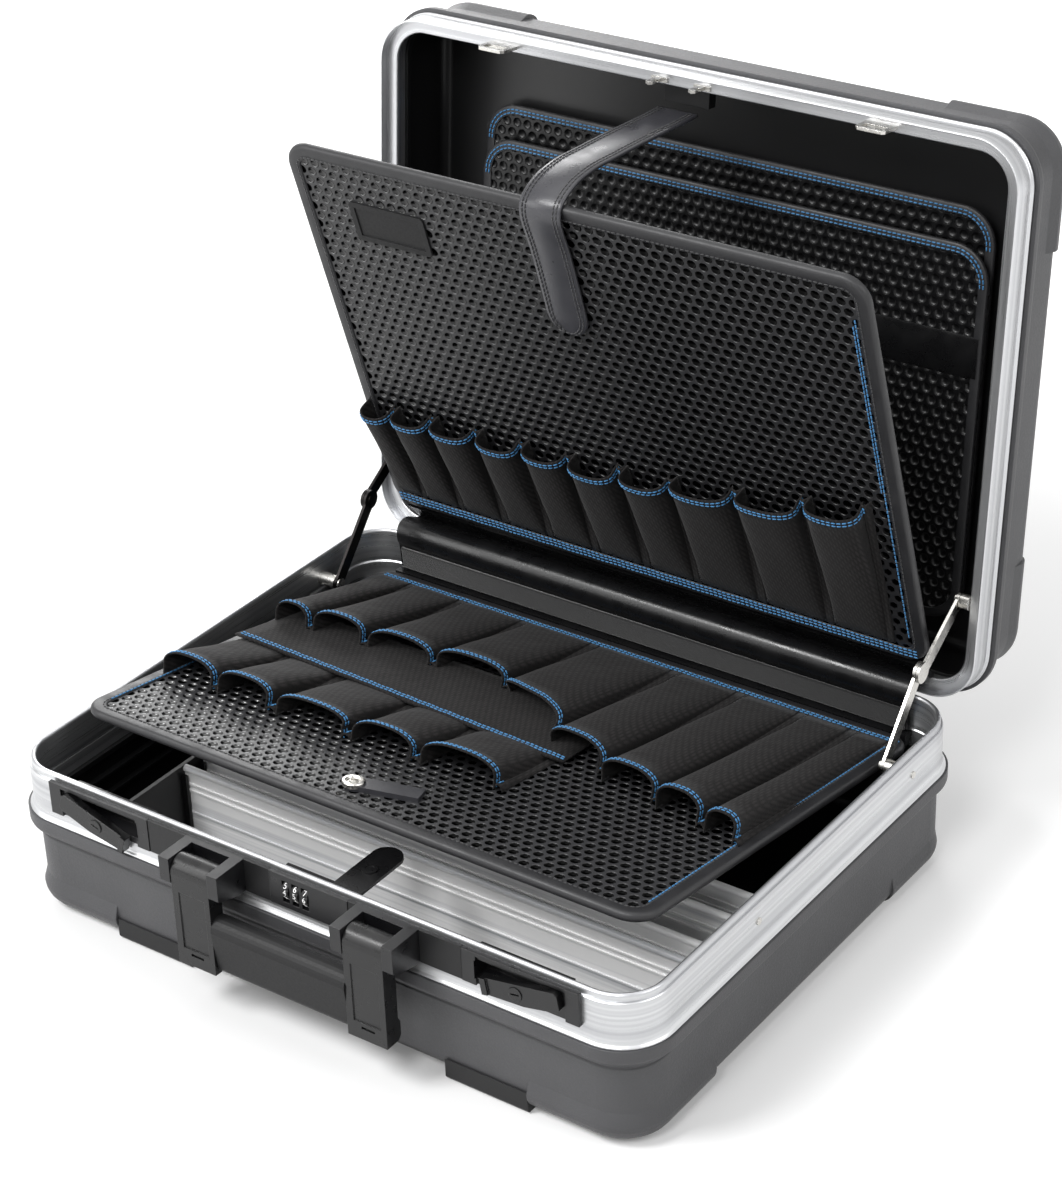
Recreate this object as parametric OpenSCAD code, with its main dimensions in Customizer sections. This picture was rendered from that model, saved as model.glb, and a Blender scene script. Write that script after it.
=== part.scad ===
// Hard tool case, open: aluminium-framed shells, pocket boards, front latches, lock and handle.
// Millimetres, +Z up. The origin is on the floor under the middle of the base.
// The lid and both boards are drawn shut and flat, then turned to the pose in which they stand.

/* [Case] */
// Width over the aluminium frames
case_width = 480; // [440:1:520]
// Depth over the aluminium frames
case_depth = 374; // [350:1:400]
// Corner radius of the frames
corner_radius = 32; // [28:1:36]
// Height of the base rim above the floor
rim_height = 110; // [104:1:116]
// Height of the shell above the feet
foot_height = 4; // [3:0.5:6]
// Depth of the lid from its frame edge to its top
lid_height = 71; // [69:1:80]
// Angle that the lid is open
lid_open = 95.4; // [90:0.1:100]

/* [Shells] */
// Wall thickness of the moulded shells
shell_wall = 2; // [2:0.1:3]
// How far the walls stand back from the frame's face
wall_inset = 2.5; // [2:0.1:4]
// How far the flange stands out past the frame
flange_reach = 4; // [3:0.1:5]
// Height of the base's flange with its curved underside
flange_drop = 17.5; // [15:0.5:19]
// Height of the lid's flange with its curved underside
lid_flange_drop = 14; // [12:0.5:16]
// Radius round the bottom edges
edge_radius = 11; // [10:1:16]
// Radius round the inside of the floor
inner_radius = 7; // [5:0.5:10]
// How far the moulded corners stand out at the handle's side
corner_bulge = 2.8; // [1.5:0.1:3]
// How far they stand out at the hinge's side
rear_bulge = 1.5; // [1:0.1:2]

/* [Frames] */
// Height of the base frame
base_frame_height = 36; // [34:1:40]
// Height of the lid frame
lid_frame_height = 20; // [18:0.5:22]
// Thickness of the frame walls
frame_wall = 5; // [4.5:0.1:6]
// Height of the tongue that the lid closes over
tongue_height = 5; // [4:0.1:6]
// Width of the ledge inside the lid frame
lid_ledge = 10; // [9:0.5:12]

/* [Front hardware] */
// Height of the black strip on the front
strip_height = 23; // [21:0.5:24]
// How far the strip stands out
strip_proud = 3; // [2:0.1:4]
// Distance of each latch's pivot from the side of the frame
latch_inset = 56; // [52:1:60]
// Length of a latch lever from its pivot
latch_reach = 48; // [44:1:50]
// Angle that the left lever has sprung open
left_latch_angle = 17; // [0:1:17]
// Angle that the right lever has sprung open
right_latch_angle = 10; // [0:1:17]
// Distance of each handle bracket from the middle
bracket_place = 66; // [60:1:72]
// Width of a handle bracket
bracket_width = 46; // [42:1:50]
// Radius of the number dials
dial_radius = 7.2; // [6:0.1:7.4]
// Spacing of the number dials
dial_pitch = 7.4; // [7:0.1:8]

/* [Handle] */
// Drop of the handle below its pivot
handle_drop = 65; // [60:1:68]
// Height of the grip
grip_height = 40; // [30:1:42]
// Thickness of the grip
grip_depth = 17; // [14:0.5:18]

/* [Boards] */
// Gap between a board's side and the outside of the frame
board_margin = 25; // [24:0.5:28]
// Gap between the lower board's front edge and the outside of the frame
lower_board_margin = 39; // [37:1:60]
// How much shorter the upper board is than the lower one
upper_board_short = 2; // [0:0.5:20]
// Angle that the lower board is raised
lower_board_tilt = 9.1; // [0:0.1:12]
// Angle that the upper board leans out of the lid
upper_board_tilt = 22.7; // [10:0.1:24]
// Height of a pocket at its mouth
pocket_height = 14; // [10:0.5:14]
// Thickness of the pocket fabric
fabric = 1.2; // [1:0.1:1.6]

/* [Dividers] */
// How far the dividers stand above the lower edge of the frame
divider_proud = 3; // [-15:0.5:3]
// Distance of the cross divider from the side of the frame
cross_divider_inset = 64; // [56:1:80]

/* [Hidden] */
$fn = 64;

half_w = case_width / 2;
half_d = case_depth / 2;
// Gap between parts that slide or turn past each other
gap = 0.3;
// Radial gap of a running fit
run_fit = 0.05;
eps = 0.01;

// The plane that the lid's edge closes on, and the height where base frame meets shell
close_z = rim_height - tongue_height;
seat_z = rim_height - base_frame_height;
latch_pivot = half_w - latch_inset;
board_width = case_width - 2 * board_margin;
lower_board_length = case_depth - 15 - lower_board_margin;
upper_board_length = lower_board_length - upper_board_short;
cross_divider_place = half_w - cross_divider_inset;
// Half the width of the sewn hinges, which stop short of the frame's corners
sewn_half = half_w - corner_radius - 0.5;
inner_inset = wall_inset + shell_wall;
inner_x = half_w - inner_inset;
inner_d = half_d - inner_inset;
draft = 0.2;
floor_z = foot_height + 3;
foot_end = half_w - 80;
foot_length = 60;
bulge_height = 10;
divider_height = seat_z + divider_proud - floor_z;
guide_top = seat_z - 5;

// Hinge line
knuckle_r = 3.5;
hinge_r = 1.5;
hinge_y = half_d + 4.5;
hinge_z = close_z - 7;
hinge_length = 400;
knuckles = 5;

// Front strip
strip_top = rim_height - 3;
strip_z = strip_top - strip_height;
strip_y = -half_d - strip_proud;
window_z = strip_z + 2;
window_h = 18;
housing_depth = 12;
latch_z = window_z + 11;
lever_h = 15;
lever_t = 5.2;
// Front of the housing's thin wall behind the lever
latch_back_y = -half_d - 1;
latch_end = latch_pivot + 18;
latch_start = latch_pivot - 64;
latch_window = latch_pivot - 27;
lock_x0 = -23;
lock_x1 = 37;
dial_x = -10.5;
dial_w = 4.6;
dial_y = strip_y + 6;
dial_z = strip_z + strip_height / 2;
loop_place = latch_pivot - 42;
loop_y = -half_d + 6.5;
loop_w = 22;
hook_places = [-19, 13];

// Handle pivot
pivot_y = strip_y - 14.5;
pivot_z = strip_top - 10;
pivot_r = 3;
roll_r = 9.5;
cheek = 8;
arm_w = bracket_width - 2 * cheek - 2 * gap;

// Boards
board_t = 4;
board_r = 18;
lower_pivot = [half_d - 15, rim_height - 29];
upper_pivot = [hinge_y - 33.4, close_z - 10];
binding_w = 8;
binding_t = 6;

// Folding stays: both pivots and the knuckle between them, as [y, z] with the lid open
stay_foot = [half_d - 63, rim_height - 17];
stay_head_shut = [hinge_y - 74.5, close_z + 7];
stay_knuckle = [half_d - 22, rim_height + 31];
stay_x = board_width / 2 + 4;
link_t = 2;
link_w = 9;
stay_pin_r = 2.2;

// Ring of small steps along an arc, from angle a0 to a1
function arc(cx, cy, r, a0, a1, n) =
    [for (i = [0 : n]) let (a = a0 + (a1 - a0) * i / n) [cx + r * cos(a), cy + r * sin(a)]];

// ---- Shared builders ----

// Runs a profile round a rounded rectangle. In the profile, x is the distance
// outward from the corner's centre and y is the height.
module run_round(hw, hd, r) {
    for (k = [0 : 3]) {
        along = (k % 2 == 0) ? hd - r : hw - r;
        across = (k % 2 == 0) ? hw - r : hd - r;
        rotate([0, 0, 90 * k]) {
            translate([across, along, 0]) rotate_extrude(angle = 90) children();
            translate([across, along, 0]) rotate([90, 0, 0]) linear_extrude(2 * along) children();
        }
    }
}

// The same run, but only the chosen corners and a stretch of wall beside each
module run_corners(hw, hd, r, near_x, near_y, which) {
    for (k = which) {
        along = (k % 2 == 0) ? hd - r : hw - r;
        across = (k % 2 == 0) ? hw - r : hd - r;
        stretch_a = along - ((k % 2 == 0) ? near_y : near_x);
        stretch_b = across - ((k % 2 == 0) ? near_x : near_y);
        rotate([0, 0, 90 * k]) translate([across, along, 0]) {
            rotate_extrude(angle = 90) children();
            rotate([90, 0, 0]) linear_extrude(stretch_a) children();
            rotate([0, 0, 90]) rotate([90, 0, 0]) translate([0, 0, -stretch_b])
                linear_extrude(stretch_b) children();
        }
    }
}

// Wall and floor of a moulded shell, y measured away from its frame
module shell_profile(h, drop) {
    r = corner_radius;
    er = edge_radius;
    ir = inner_radius;
    lip = r + flange_reach;
    wall = r - wall_inset;
    inside = r - inner_inset;
    outer = arc(wall - draft - er, h - er, er, 0, 90, 6);
    inner = arc(inside - ir, h - 3 - ir, ir, 90, 0, 6);
    polygon(concat(
        [[lip, 0], [lip, drop - 9.5], [lip - 0.5, drop - 8], [lip - 1.8, drop - 6.5],
         [wall + 1, drop - 2.8], [wall - 0.2, drop - 1.4], [wall - 0.6, drop], [wall, drop + 0.4]],
        outer,
        [[0, h], [0, h - 3]],
        inner,
        [[inside, 4], [r - 8, 4], [r - 8, 0]]
    ));
}

// The swelling grows from nothing to its full size over the last stretch above the edge
module bulge_profile(h, b) {
    er = edge_radius;
    wall = corner_radius - wall_inset;
    start = h - er - bulge_height;
    outer = arc(wall - draft - er, h - er, er + b, 0, 70, 5);
    inner = arc(wall - draft - 1 - er, h - er, er, 78, 0, 5);
    polygon(concat([[wall - 1.2, start], [wall - 0.4, start]], outer, inner));
}

module shell(h, drop) {
    run_round(half_w, half_d, corner_radius) shell_profile(h, drop);
    translate([corner_radius - half_w, corner_radius - half_d, h - 3])
        cube([2 * (half_w - corner_radius), 2 * (half_d - corner_radius), 3]);
    run_corners(half_w, half_d, corner_radius, foot_end + 0.3, half_d - 81, [0, 1])
        bulge_profile(h, rear_bulge);
    run_corners(half_w, half_d, corner_radius, foot_end + 0.3, half_d - 81, [2, 3])
        bulge_profile(h, corner_bulge);
}

// Flat plate with rounded corners, from y0 to y1
module plate(w, y0, y1, r, t) {
    linear_extrude(t) plate_outline(w, y0, y1, r);
}

module plate_outline(w, y0, y1, r) {
    translate([-w / 2 + r, y0]) square([w - 2 * r, y1 - y0]);
    translate([-w / 2, y0 + r]) square([w, y1 - y0 - 2 * r]);
    for (sx = [-1, 1], y = [y0 + r, y1 - r])
        translate([sx * (w / 2 - r), y]) circle(r);
}

// Rod or bore along X
module along_x(x0, x1, r, y, z) {
    translate([x0, y, z]) rotate([0, 90, 0]) cylinder(r = r, h = x1 - x0);
}

// Rod or bore along Y
module along_y(y0, y1, r, x, z) {
    translate([x, y1, z]) rotate([90, 0, 0]) cylinder(r = r, h = y1 - y0);
}

// Extrudes a [y, z] outline along X
module slab(x0, x1) {
    translate([x0, 0, 0]) rotate([90, 0, 90]) linear_extrude(x1 - x0) children();
}

module block(x0, x1, y0, y1, z0, z1) {
    translate([x0, y0, z0]) cube([x1 - x0, y1 - y0, z1 - z0]);
}

// ---- Poses ----

module with_lid() {
    translate([0, hinge_y, hinge_z]) rotate([-lid_open, 0, 0])
        translate([0, -hinge_y, -hinge_z]) children();
}

// Children lie along -Y from the pivot, with their top face up
module with_lower_board() {
    translate([0, lower_pivot[0], lower_pivot[1]]) rotate([-lower_board_tilt, 0, 0]) children();
}

// Children lie along -Y from the pivot, with their pockets facing up
module with_upper_board() {
    with_lid() translate([0, upper_pivot[0], upper_pivot[1]])
        rotate([upper_board_tilt, 0, 0]) mirror([0, 0, 1]) children();
}

// ---- Base ----

module base_shell() {
    color([0.27, 0.27, 0.28]) {
        translate([0, 0, seat_z]) mirror([0, 0, 1])
            shell(seat_z - foot_height, flange_drop);
        // Raised panel in the middle of the underside
        translate([0, 0, foot_height - 1]) plate(case_width - 180, 77 - half_d, half_d - 77, 14, 1.5);
    }
}

// Extruded section: tongue, shoulder, wall and a toe that flares out
module base_frame_profile() {
    r = corner_radius;
    polygon(concat(
        [[r, close_z - 0.6], [r - 0.6, close_z], [r - 1.5, close_z]],
        arc(r - 3.25, rim_height - 1.75, 1.75, 0, 180, 6),
        [[r - frame_wall, seat_z + 14], [r - frame_wall + 0.8, seat_z + 13],
         [r - frame_wall + 0.8, seat_z + 11], [r - frame_wall, seat_z + 10],
         [r - frame_wall, seat_z], [r + 2.2, seat_z], [r + 2.6, seat_z + 0.5],
         [r + 2.3, seat_z + 1.1], [r + 1.2, seat_z + 2.2], [r + 0.5, seat_z + 3.6],
         [r + 0.1, seat_z + 5.4], [r, seat_z + 7]]
    ));
}

module base_frame() {
    color("silver") difference() {
        run_round(half_w, half_d, corner_radius) base_frame_profile();
        for (s = [-1, 1])
            block(s * latch_window - 33, s * latch_window + 33, -half_d - 1, -half_d + frame_wall + 1,
                window_z, window_z + window_h);
        block(lock_x0 + 2, lock_x1 - 2, -half_d - 1, -half_d + frame_wall + 1,
            window_z, window_z + window_h);
    }
}

// Foot bars wrap under the shell's lower edge, two in front and two behind
module foot_profile() {
    front = -half_d + 1.2;
    edge = arc(-half_d + wall_inset + draft + edge_radius, foot_height + edge_radius, edge_radius,
        270, 195, 5);
    polygon(concat(
        [[-half_d + 40, 0], [-half_d + 40, foot_height]],
        edge,
        [[front, foot_height + 11], [front, 2], [front + 1.4, 0]]
    ));
}

module feet() {
    x = foot_end - foot_length / 2;
    color([0.08, 0.08, 0.08]) for (sx = [-1, 1], turn = [0, 1])
        mirror([0, turn, 0]) slab(sx * x - foot_length / 2, sx * x + foot_length / 2)
            foot_profile();
}

// ---- Front hardware ----

// Drawn for the right side, pivot towards the corner
module latch_housing() {
    color([0.12, 0.12, 0.13]) difference() {
        union() {
            block(latch_start, latch_end, strip_y, -half_d, strip_z, strip_top);
            block(latch_window - 32.8, latch_window + 32.8, -half_d - 1, -half_d + housing_depth,
                window_z + 0.2, window_z + window_h - 0.2);
        }
        // The lever's sweep is open at the front and below
        block(latch_start + 10, latch_end - 9.5, strip_y - 1, latch_back_y, strip_z - 1, strip_top - 2.5);
        // Chamber behind the lever
        block(latch_window - 28, latch_window + 19, strip_y - 1, -half_d + housing_depth - 2,
            window_z + 2.5, window_z + window_h - 2.5);
        // Slot for the lid's loop
        block(loop_place - loop_w / 2 - 0.8, loop_place + loop_w / 2 + 0.8, loop_y - 2.2, loop_y + 2.2,
            window_z + 6, strip_top + 1);
    }
    color([0.12, 0.12, 0.13])
        along_y(latch_back_y - lever_t + 1, latch_back_y + 1, 2, latch_pivot, latch_z);
}

module latch_housing_right() latch_housing();
module latch_housing_left() mirror([1, 0, 0]) latch_housing();

module lever_turn(angle) {
    translate([latch_pivot, 0, latch_z]) rotate([0, angle, 0])
        translate([-latch_pivot, 0, -latch_z]) children();
}

// Lever at rest: a tapering finger plate round its pivot, with a bore for the key cylinder
module latch_lever(angle) {
    y1 = latch_back_y - gap;
    y0 = y1 - lever_t;
    color([0.13, 0.13, 0.14]) lever_turn(angle) difference() {
        union() {
            translate([0, y1, 0]) rotate([90, 0, 0]) linear_extrude(lever_t) polygon([
                [latch_pivot - latch_reach, latch_z - 5],
                [latch_pivot - latch_reach, latch_z + 6],
                [latch_pivot + 4, latch_z + 6],
                [latch_pivot + 6, latch_z + 4],
                [latch_pivot + 6, latch_z - 5],
                [latch_pivot + 4, latch_z - 7],
                [latch_pivot - 20, latch_z - 8]]);
            block(latch_pivot - latch_reach, latch_pivot - latch_reach + 4, y0 - 1.4, y0 + 1,
                latch_z - 5, latch_z + 6);
        }
        along_y(y0 + 1, y1 + 1, 2 + run_fit, latch_pivot, latch_z);
        along_y(y0 - 1, y1 + 1, 4.6 + run_fit, latch_pivot - 24, latch_z - 0.5);
    }
}

module latch_lever_right() latch_lever(-right_latch_angle);
module latch_lever_left() mirror([1, 0, 0]) latch_lever(-left_latch_angle);

// Keyed cylinder with its slot across the face
module key_cylinder(angle) {
    y1 = latch_back_y - gap - 0.2;
    y0 = y1 - lever_t - 0.4;
    color([0.2, 0.2, 0.21]) lever_turn(angle) difference() {
        along_y(y0, y1, 4.6, latch_pivot - 24, latch_z - 0.5);
        block(latch_pivot - 27, latch_pivot - 21, y0 - 1, y0 + 2, latch_z - 1.1, latch_z + 0.1);
    }
}

module key_cylinder_right() key_cylinder(-right_latch_angle);
module key_cylinder_left() mirror([1, 0, 0]) key_cylinder(-left_latch_angle);

// Plain strips between the latches, brackets and lock
module cover_strips() {
    in = bracket_place - bracket_width / 2;
    out = bracket_place + bracket_width / 2;
    color([0.14, 0.14, 0.15]) {
        block(-latch_start + 0.4, -out - 0.2, strip_y + 0.4, -half_d, strip_z, strip_top);
        block(out + 0.2, latch_start - 0.4, strip_y + 0.4, -half_d, strip_z, strip_top);
        block(-in + 0.2, lock_x0 - 0.2, strip_y + 0.4, -half_d, strip_z, strip_top);
        block(lock_x1 + 0.2, in - 0.2, strip_y + 0.4, -half_d, strip_z, strip_top);
    }
}

// Number lock: a block through the frame with three dial slots and a slot for the hooks
module lock_housing() {
    color([0.12, 0.12, 0.13]) difference() {
        union() {
            block(lock_x0, lock_x1, strip_y, -half_d, strip_z, strip_top);
            block(lock_x0 + 2.2, lock_x1 - 2.2, -half_d - 1, -half_d + 13, window_z + 0.2,
                window_z + window_h - 0.2);
        }
        for (i = [0 : 2])
            block(dial_x + i * dial_pitch - dial_w / 2 - gap, dial_x + i * dial_pitch + dial_w / 2 + gap,
                strip_y - 1, dial_y + dial_radius + 0.8, dial_z - dial_radius - 0.5,
                dial_z + dial_radius + 0.5);
        for (x = hook_places)
            block(x - 3.2, x + 3.2, loop_y - 2.2, loop_y + 2.2, window_z + 5, strip_top + 1);
    }
    color("gray")
        along_x(dial_x - dial_w, dial_x + 2 * dial_pitch + dial_w, 1.5, dial_y, dial_z);
}

// Number wheel with ten finger notches round its rim
module dial(i) {
    x = dial_x + i * dial_pitch;
    color([0.1, 0.1, 0.1]) difference() {
        along_x(x - dial_w / 2, x + dial_w / 2, dial_radius, dial_y, dial_z);
        along_x(x - dial_w, x + dial_w, 1.5 + run_fit, dial_y, dial_z);
        for (k = [0 : 9]) translate([0, dial_y, dial_z]) rotate([36 * k + 18, 0, 0])
            along_x(x - dial_w, x + dial_w, 0.7, -dial_radius - 0.2, 0);
    }
}

module dial_1() dial(0);
module dial_2() dial(1);
module dial_3() dial(2);

// Bracket: back plate and two cheeks with the pin across them
module handle_bracket(x) {
    h = bracket_width / 2;
    side = [[strip_y, strip_z], [strip_y, strip_top], [pivot_y - 10, strip_top],
        [pivot_y - 10, strip_top - 17], [pivot_y - 4, strip_top - 20], [strip_y - 6, strip_z]];
    color([0.11, 0.11, 0.12]) {
        block(x - h, x + h, strip_y - 2.6, -half_d, strip_z, strip_top);
        for (s = [-1, 1]) slab(x + s * (h - cheek / 2) - cheek / 2, x + s * (h - cheek / 2) + cheek / 2)
            polygon(side);
        along_x(x - h + 1, x + h - 1, pivot_r, pivot_y, pivot_z);
    }
}

module handle_bracket_left() handle_bracket(-bracket_place);
module handle_bracket_right() handle_bracket(bracket_place);

// Arms: a roll round each pin, then a flat arm that hangs down
module handle_arms() {
    bottom = pivot_z - handle_drop;
    color([0.13, 0.13, 0.14]) for (s = [-1, 1]) difference() {
        x0 = s * bracket_place - arm_w / 2;
        union() {
            along_x(x0, x0 + arm_w, roll_r, pivot_y, pivot_z);
            slab(x0, x0 + arm_w) polygon([
                [pivot_y - roll_r, pivot_z], [pivot_y + 2, pivot_z], [pivot_y + 1.5, bottom + 16],
                [pivot_y + 3.5, bottom + 13], [pivot_y + 3.5, bottom + 3], [pivot_y + 1, bottom],
                [pivot_y - roll_r - 0.4, bottom]]);
        }
        along_x(x0 - 1, x0 + arm_w + 1, pivot_r + run_fit, pivot_y, pivot_z);
        // Long inset panel and finger notch on the front
        block(x0 + 5, x0 + arm_w - 4, pivot_y - roll_r - 2, pivot_y - roll_r + 0.5,
            bottom + 12, pivot_z - 12);
        block(x0 + arm_w / 2 - 4, x0 + arm_w / 2 + 6, pivot_y - roll_r - 2, pivot_y - roll_r + 1.2,
            bottom + 7.5, bottom + 9.5);
    }
}

// Padded grip between the arms
module handle_grip() {
    bottom = pivot_z - handle_drop + 1;
    inner = bracket_place - arm_w / 2;
    front = pivot_y - roll_r - 1.5;
    r = grip_depth / 2;
    color([0.16, 0.16, 0.17]) slab(-inner, inner) polygon(concat(
        arc(front + r, bottom + grip_height - r, r, 0, 180, 12),
        arc(front + r, bottom + 5, 5, 190, 350, 8)));
}

// ---- Inside the base ----

divider_y = [for (d = [91, 109, 141, 166]) d - half_d];

// Extruded divider: thin web, round top bead and ridges on its front
module divider(i) {
    y = divider_y[i];
    top = floor_z + divider_height;
    color("lightgray") difference() {
        slab(-cross_divider_place + 1.5, inner_x - 3.7) {
            translate([y, floor_z]) square([1.8, divider_height - 2]);
            translate([y + 0.9, top - 2.5]) circle(2.5, $fn = 32);
            for (z = [top - 14, top - 19, top - 36, top - 52])
                translate([y - 1, z]) square([1.5, 1.6]);
        }
        // Clear of the rounded edge of the floor
        block(inner_x - inner_radius - 1, inner_x, y - 2, y + 4, floor_z - 1, floor_z + inner_radius + 0.5);
    }
}

module divider_1() divider(0);
module divider_2() divider(1);
module divider_3() divider(2);
module divider_4() divider(3);

module cross_divider() {
    color([0.1, 0.1, 0.1]) {
        block(-cross_divider_place - 1.5, -cross_divider_place + 1.5, -inner_d + 14, half_d - 37, floor_z,
            floor_z + divider_height);
        for (y = divider_y, s = [0, 1])
            block(-cross_divider_place + 1.5, -cross_divider_place + 5, y - 3.6 + s * 6, y - 1.4 + s * 6,
                floor_z, floor_z + divider_height - 6);
    }
}

// Grooved strips on the right wall and ribs along the left wall
module guide_strips() {
    long = half_d - 75;
    color([0.1, 0.1, 0.1]) {
        block(inner_x - 3, inner_x, -long, long, floor_z + inner_radius + 1, guide_top);
        for (y = divider_y, s = [0, 1])
            block(inner_x - 6.5, inner_x - 3, y - 3.6 + s * 6, y - 1.4 + s * 6,
                floor_z + inner_radius + 1, guide_top);
        for (z = [0.55, 0.75] * seat_z) block(-inner_x, -inner_x + 4, -long - 28, long - 12, z, z + 2);
    }
}

// Snap tab from the top of the lock block, with the socket of its press stud
module hold_down_tab() {
    x0 = 17;
    w = 21;
    y0 = -half_d + frame_wall;
    z0 = window_z + window_h - 0.2;
    color([0.05, 0.05, 0.05]) {
        block(x0, x0 + w, y0, y0 + 42, z0, z0 + 2.2);
        translate([x0 + w / 2, y0 + 42, z0]) cylinder(r = w / 2, h = 2.2);
    }
    color("silver") translate([x0 + w / 2, y0 + 26, z0 + 2.2]) difference() {
        cylinder(r = 5, h = 1.2);
        translate([0, 0, 0.5]) cylinder(r = 3.2, h = 2);
    }
}

// ---- Hinge and stays ----

module knuckle_run(first) {
    step = hinge_length / knuckles;
    for (i = [first : 2 : knuckles - 1])
        translate([-hinge_length / 2 + i * step, 0, 0]) children();
}

module hinge_base() {
    step = hinge_length / knuckles;
    color("silver") knuckle_run(0) difference() {
        union() {
            block(0.3, step - 0.3, half_d, half_d + 1.2, hinge_z - 14, hinge_z);
            along_x(0.3, step - 0.3, knuckle_r, hinge_y, hinge_z);
        }
        along_x(-1, step + 1, hinge_r + 0.02, hinge_y, hinge_z);
    }
}

module hinge_lid() {
    step = hinge_length / knuckles;
    color("silver") with_lid() knuckle_run(1) difference() {
        union() {
            block(0.3, step - 0.3, half_d, half_d + 1.2, hinge_z, hinge_z + 21);
            along_x(0.3, step - 0.3, knuckle_r, hinge_y, hinge_z);
        }
        along_x(-1, step + 1, hinge_r + run_fit, hinge_y, hinge_z);
    }
}

module hinge_pin() {
    color("gray") along_x(-hinge_length / 2, hinge_length / 2, hinge_r, hinge_y, hinge_z);
}

// Flexible cover over the hinge, from the base's back wall over the rim to the lid's edge
module hinge_cover() {
    y = half_d - frame_wall;
    color([0.07, 0.07, 0.07]) slab(-sewn_half, sewn_half) polygon(concat(
        [[y, rim_height - 26], [y, rim_height - 1], [y + 1.5, rim_height + 1.5]],
        [[y + 10, rim_height + 2], [hinge_y + 12, rim_height + 0.6], [hinge_y + 12, rim_height + 2.6],
         [hinge_y + 4, rim_height + 5.5]],
        arc(y + 3, rim_height, 7.5, 60, 180, 6),
        [[y - 2.5, rim_height - 26]]
    ));
}

// Strip on the back wall that the lower board is sewn to
module board_hinge_strip() {
    w = sewn_half;
    y = lower_pivot[0] + 0.5 + gap;
    color([0.07, 0.07, 0.07]) block(-w, w, y, half_d - frame_wall, seat_z + 0.2, rim_height - 26.3);
}

// Flap at the lid's lower edge that carries the upper board
module lid_hinge_flap() {
    w = sewn_half;
    y0 = half_d - lid_ledge;
    y1 = upper_pivot[0] + binding_t / 2 + gap;
    z1 = upper_pivot[1];
    color([0.07, 0.07, 0.07]) with_lid() slab(-w, w) polygon([
        [y0, close_z + 6], [y0, close_z + 9], [y0 - 2, close_z + 9],
        [y1, z1 + 2.5], [y1, z1 - 1], [y0 - 2, close_z + 4]]);
}

module link(from, to, x0, x1) {
    d = to - from;
    long = norm(d);
    translate([0, from[0], from[1]]) rotate([atan2(d[1], d[0]), 0, 0])
        slab(x0, x1) {
            translate([0, -link_w / 2]) square([long, link_w]);
            circle(link_w / 2 + 0.5);
            translate([long, 0]) circle(7);
        }
}

// Where the lid's stay pivot stands with the lid open
function turned(p, o, a) = [
    o[0] + (p[0] - o[0]) * cos(a) - (p[1] - o[1]) * sin(a),
    o[1] + (p[0] - o[0]) * sin(a) + (p[1] - o[1]) * cos(a)];
stay_head = turned(stay_head_shut, [hinge_y, hinge_z], -lid_open);

// Lower link of the right stay, with the rivet head of the knuckle
module stay_lower() {
    color("gray") difference() {
        union() {
            link(stay_foot, stay_knuckle, stay_x, stay_x + link_t);
            along_x(stay_x - 1, stay_x, 4, stay_knuckle[0], stay_knuckle[1]);
        }
        along_x(stay_x - 2, stay_x + link_t + 1, stay_pin_r + run_fit, stay_foot[0], stay_foot[1]);
    }
}

module stay_upper() {
    x = stay_x + link_t + 0.4;
    color("lightgray") difference() {
        link(stay_head, stay_knuckle, x, x + link_t);
        along_x(x - 1, x + link_t + 1, stay_pin_r + run_fit, stay_head[0], stay_head[1]);
    }
}

module stay_lower_right() stay_lower();
module stay_lower_left() mirror([1, 0, 0]) stay_lower();
module stay_upper_right() stay_upper();
module stay_upper_left() mirror([1, 0, 0]) stay_upper();

// Pin, spacer boss and head for one end of a stay
module stay_mount(p, x0, wall_x) {
    along_x(x0 - 1, wall_x, stay_pin_r, p[0], p[1]);
    along_x(x0 + link_t + gap, wall_x, 5, p[0], p[1]);
    along_x(x0 - gap - 1.2, x0 - gap, 4, p[0], p[1]);
}

module stay_mounts_base() {
    color("silver") for (turn = [0, 1]) mirror([turn, 0, 0])
        stay_mount(stay_foot, stay_x, half_w - frame_wall);
}

module stay_mounts_lid() {
    color("silver") with_lid() for (turn = [0, 1]) mirror([turn, 0, 0])
        stay_mount(stay_head_shut, stay_x + link_t + 0.4, half_w - lid_ledge);
}

// Rivet heads on the outside of the frame
module frame_rivets() {
    color("silver") for (s = [0, 1]) mirror([s, 0, 0]) {
        for (y = [stay_foot[0], -60]) along_x(half_w, half_w + 0.9, 2.4, y, stay_foot[1]);
    }
}

// ---- Lid ----

module lid_shell() {
    color([0.27, 0.27, 0.28]) with_lid() translate([0, 0, close_z + lid_frame_height])
        shell(lid_height - lid_frame_height, lid_flange_drop);
}

// Extruded section: lip over the tongue, inner ledge, wall and bead
module lid_frame_profile() {
    r = corner_radius;
    z = close_z;
    polygon(concat(
        [[r - 1.2, z], [r - 0.5, z], [r, z + 0.5], [r, z + lid_frame_height - 4]],
        arc(r, z + lid_frame_height - 1.9, 1.5, -70, 70, 5),
        [[r, z + lid_frame_height], [r - 6, z + lid_frame_height], [r - 6, z + 9],
         [r - lid_ledge + 0.6, z + 9], [r - lid_ledge, z + 8.4], [r - lid_ledge, z + 6.6],
         [r - lid_ledge + 0.6, z + 6], [r - 1.2, z + 6]]
    ));
}

module lid_frame() {
    color("silver") with_lid() run_round(half_w, half_d, corner_radius) lid_frame_profile();
}

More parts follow.
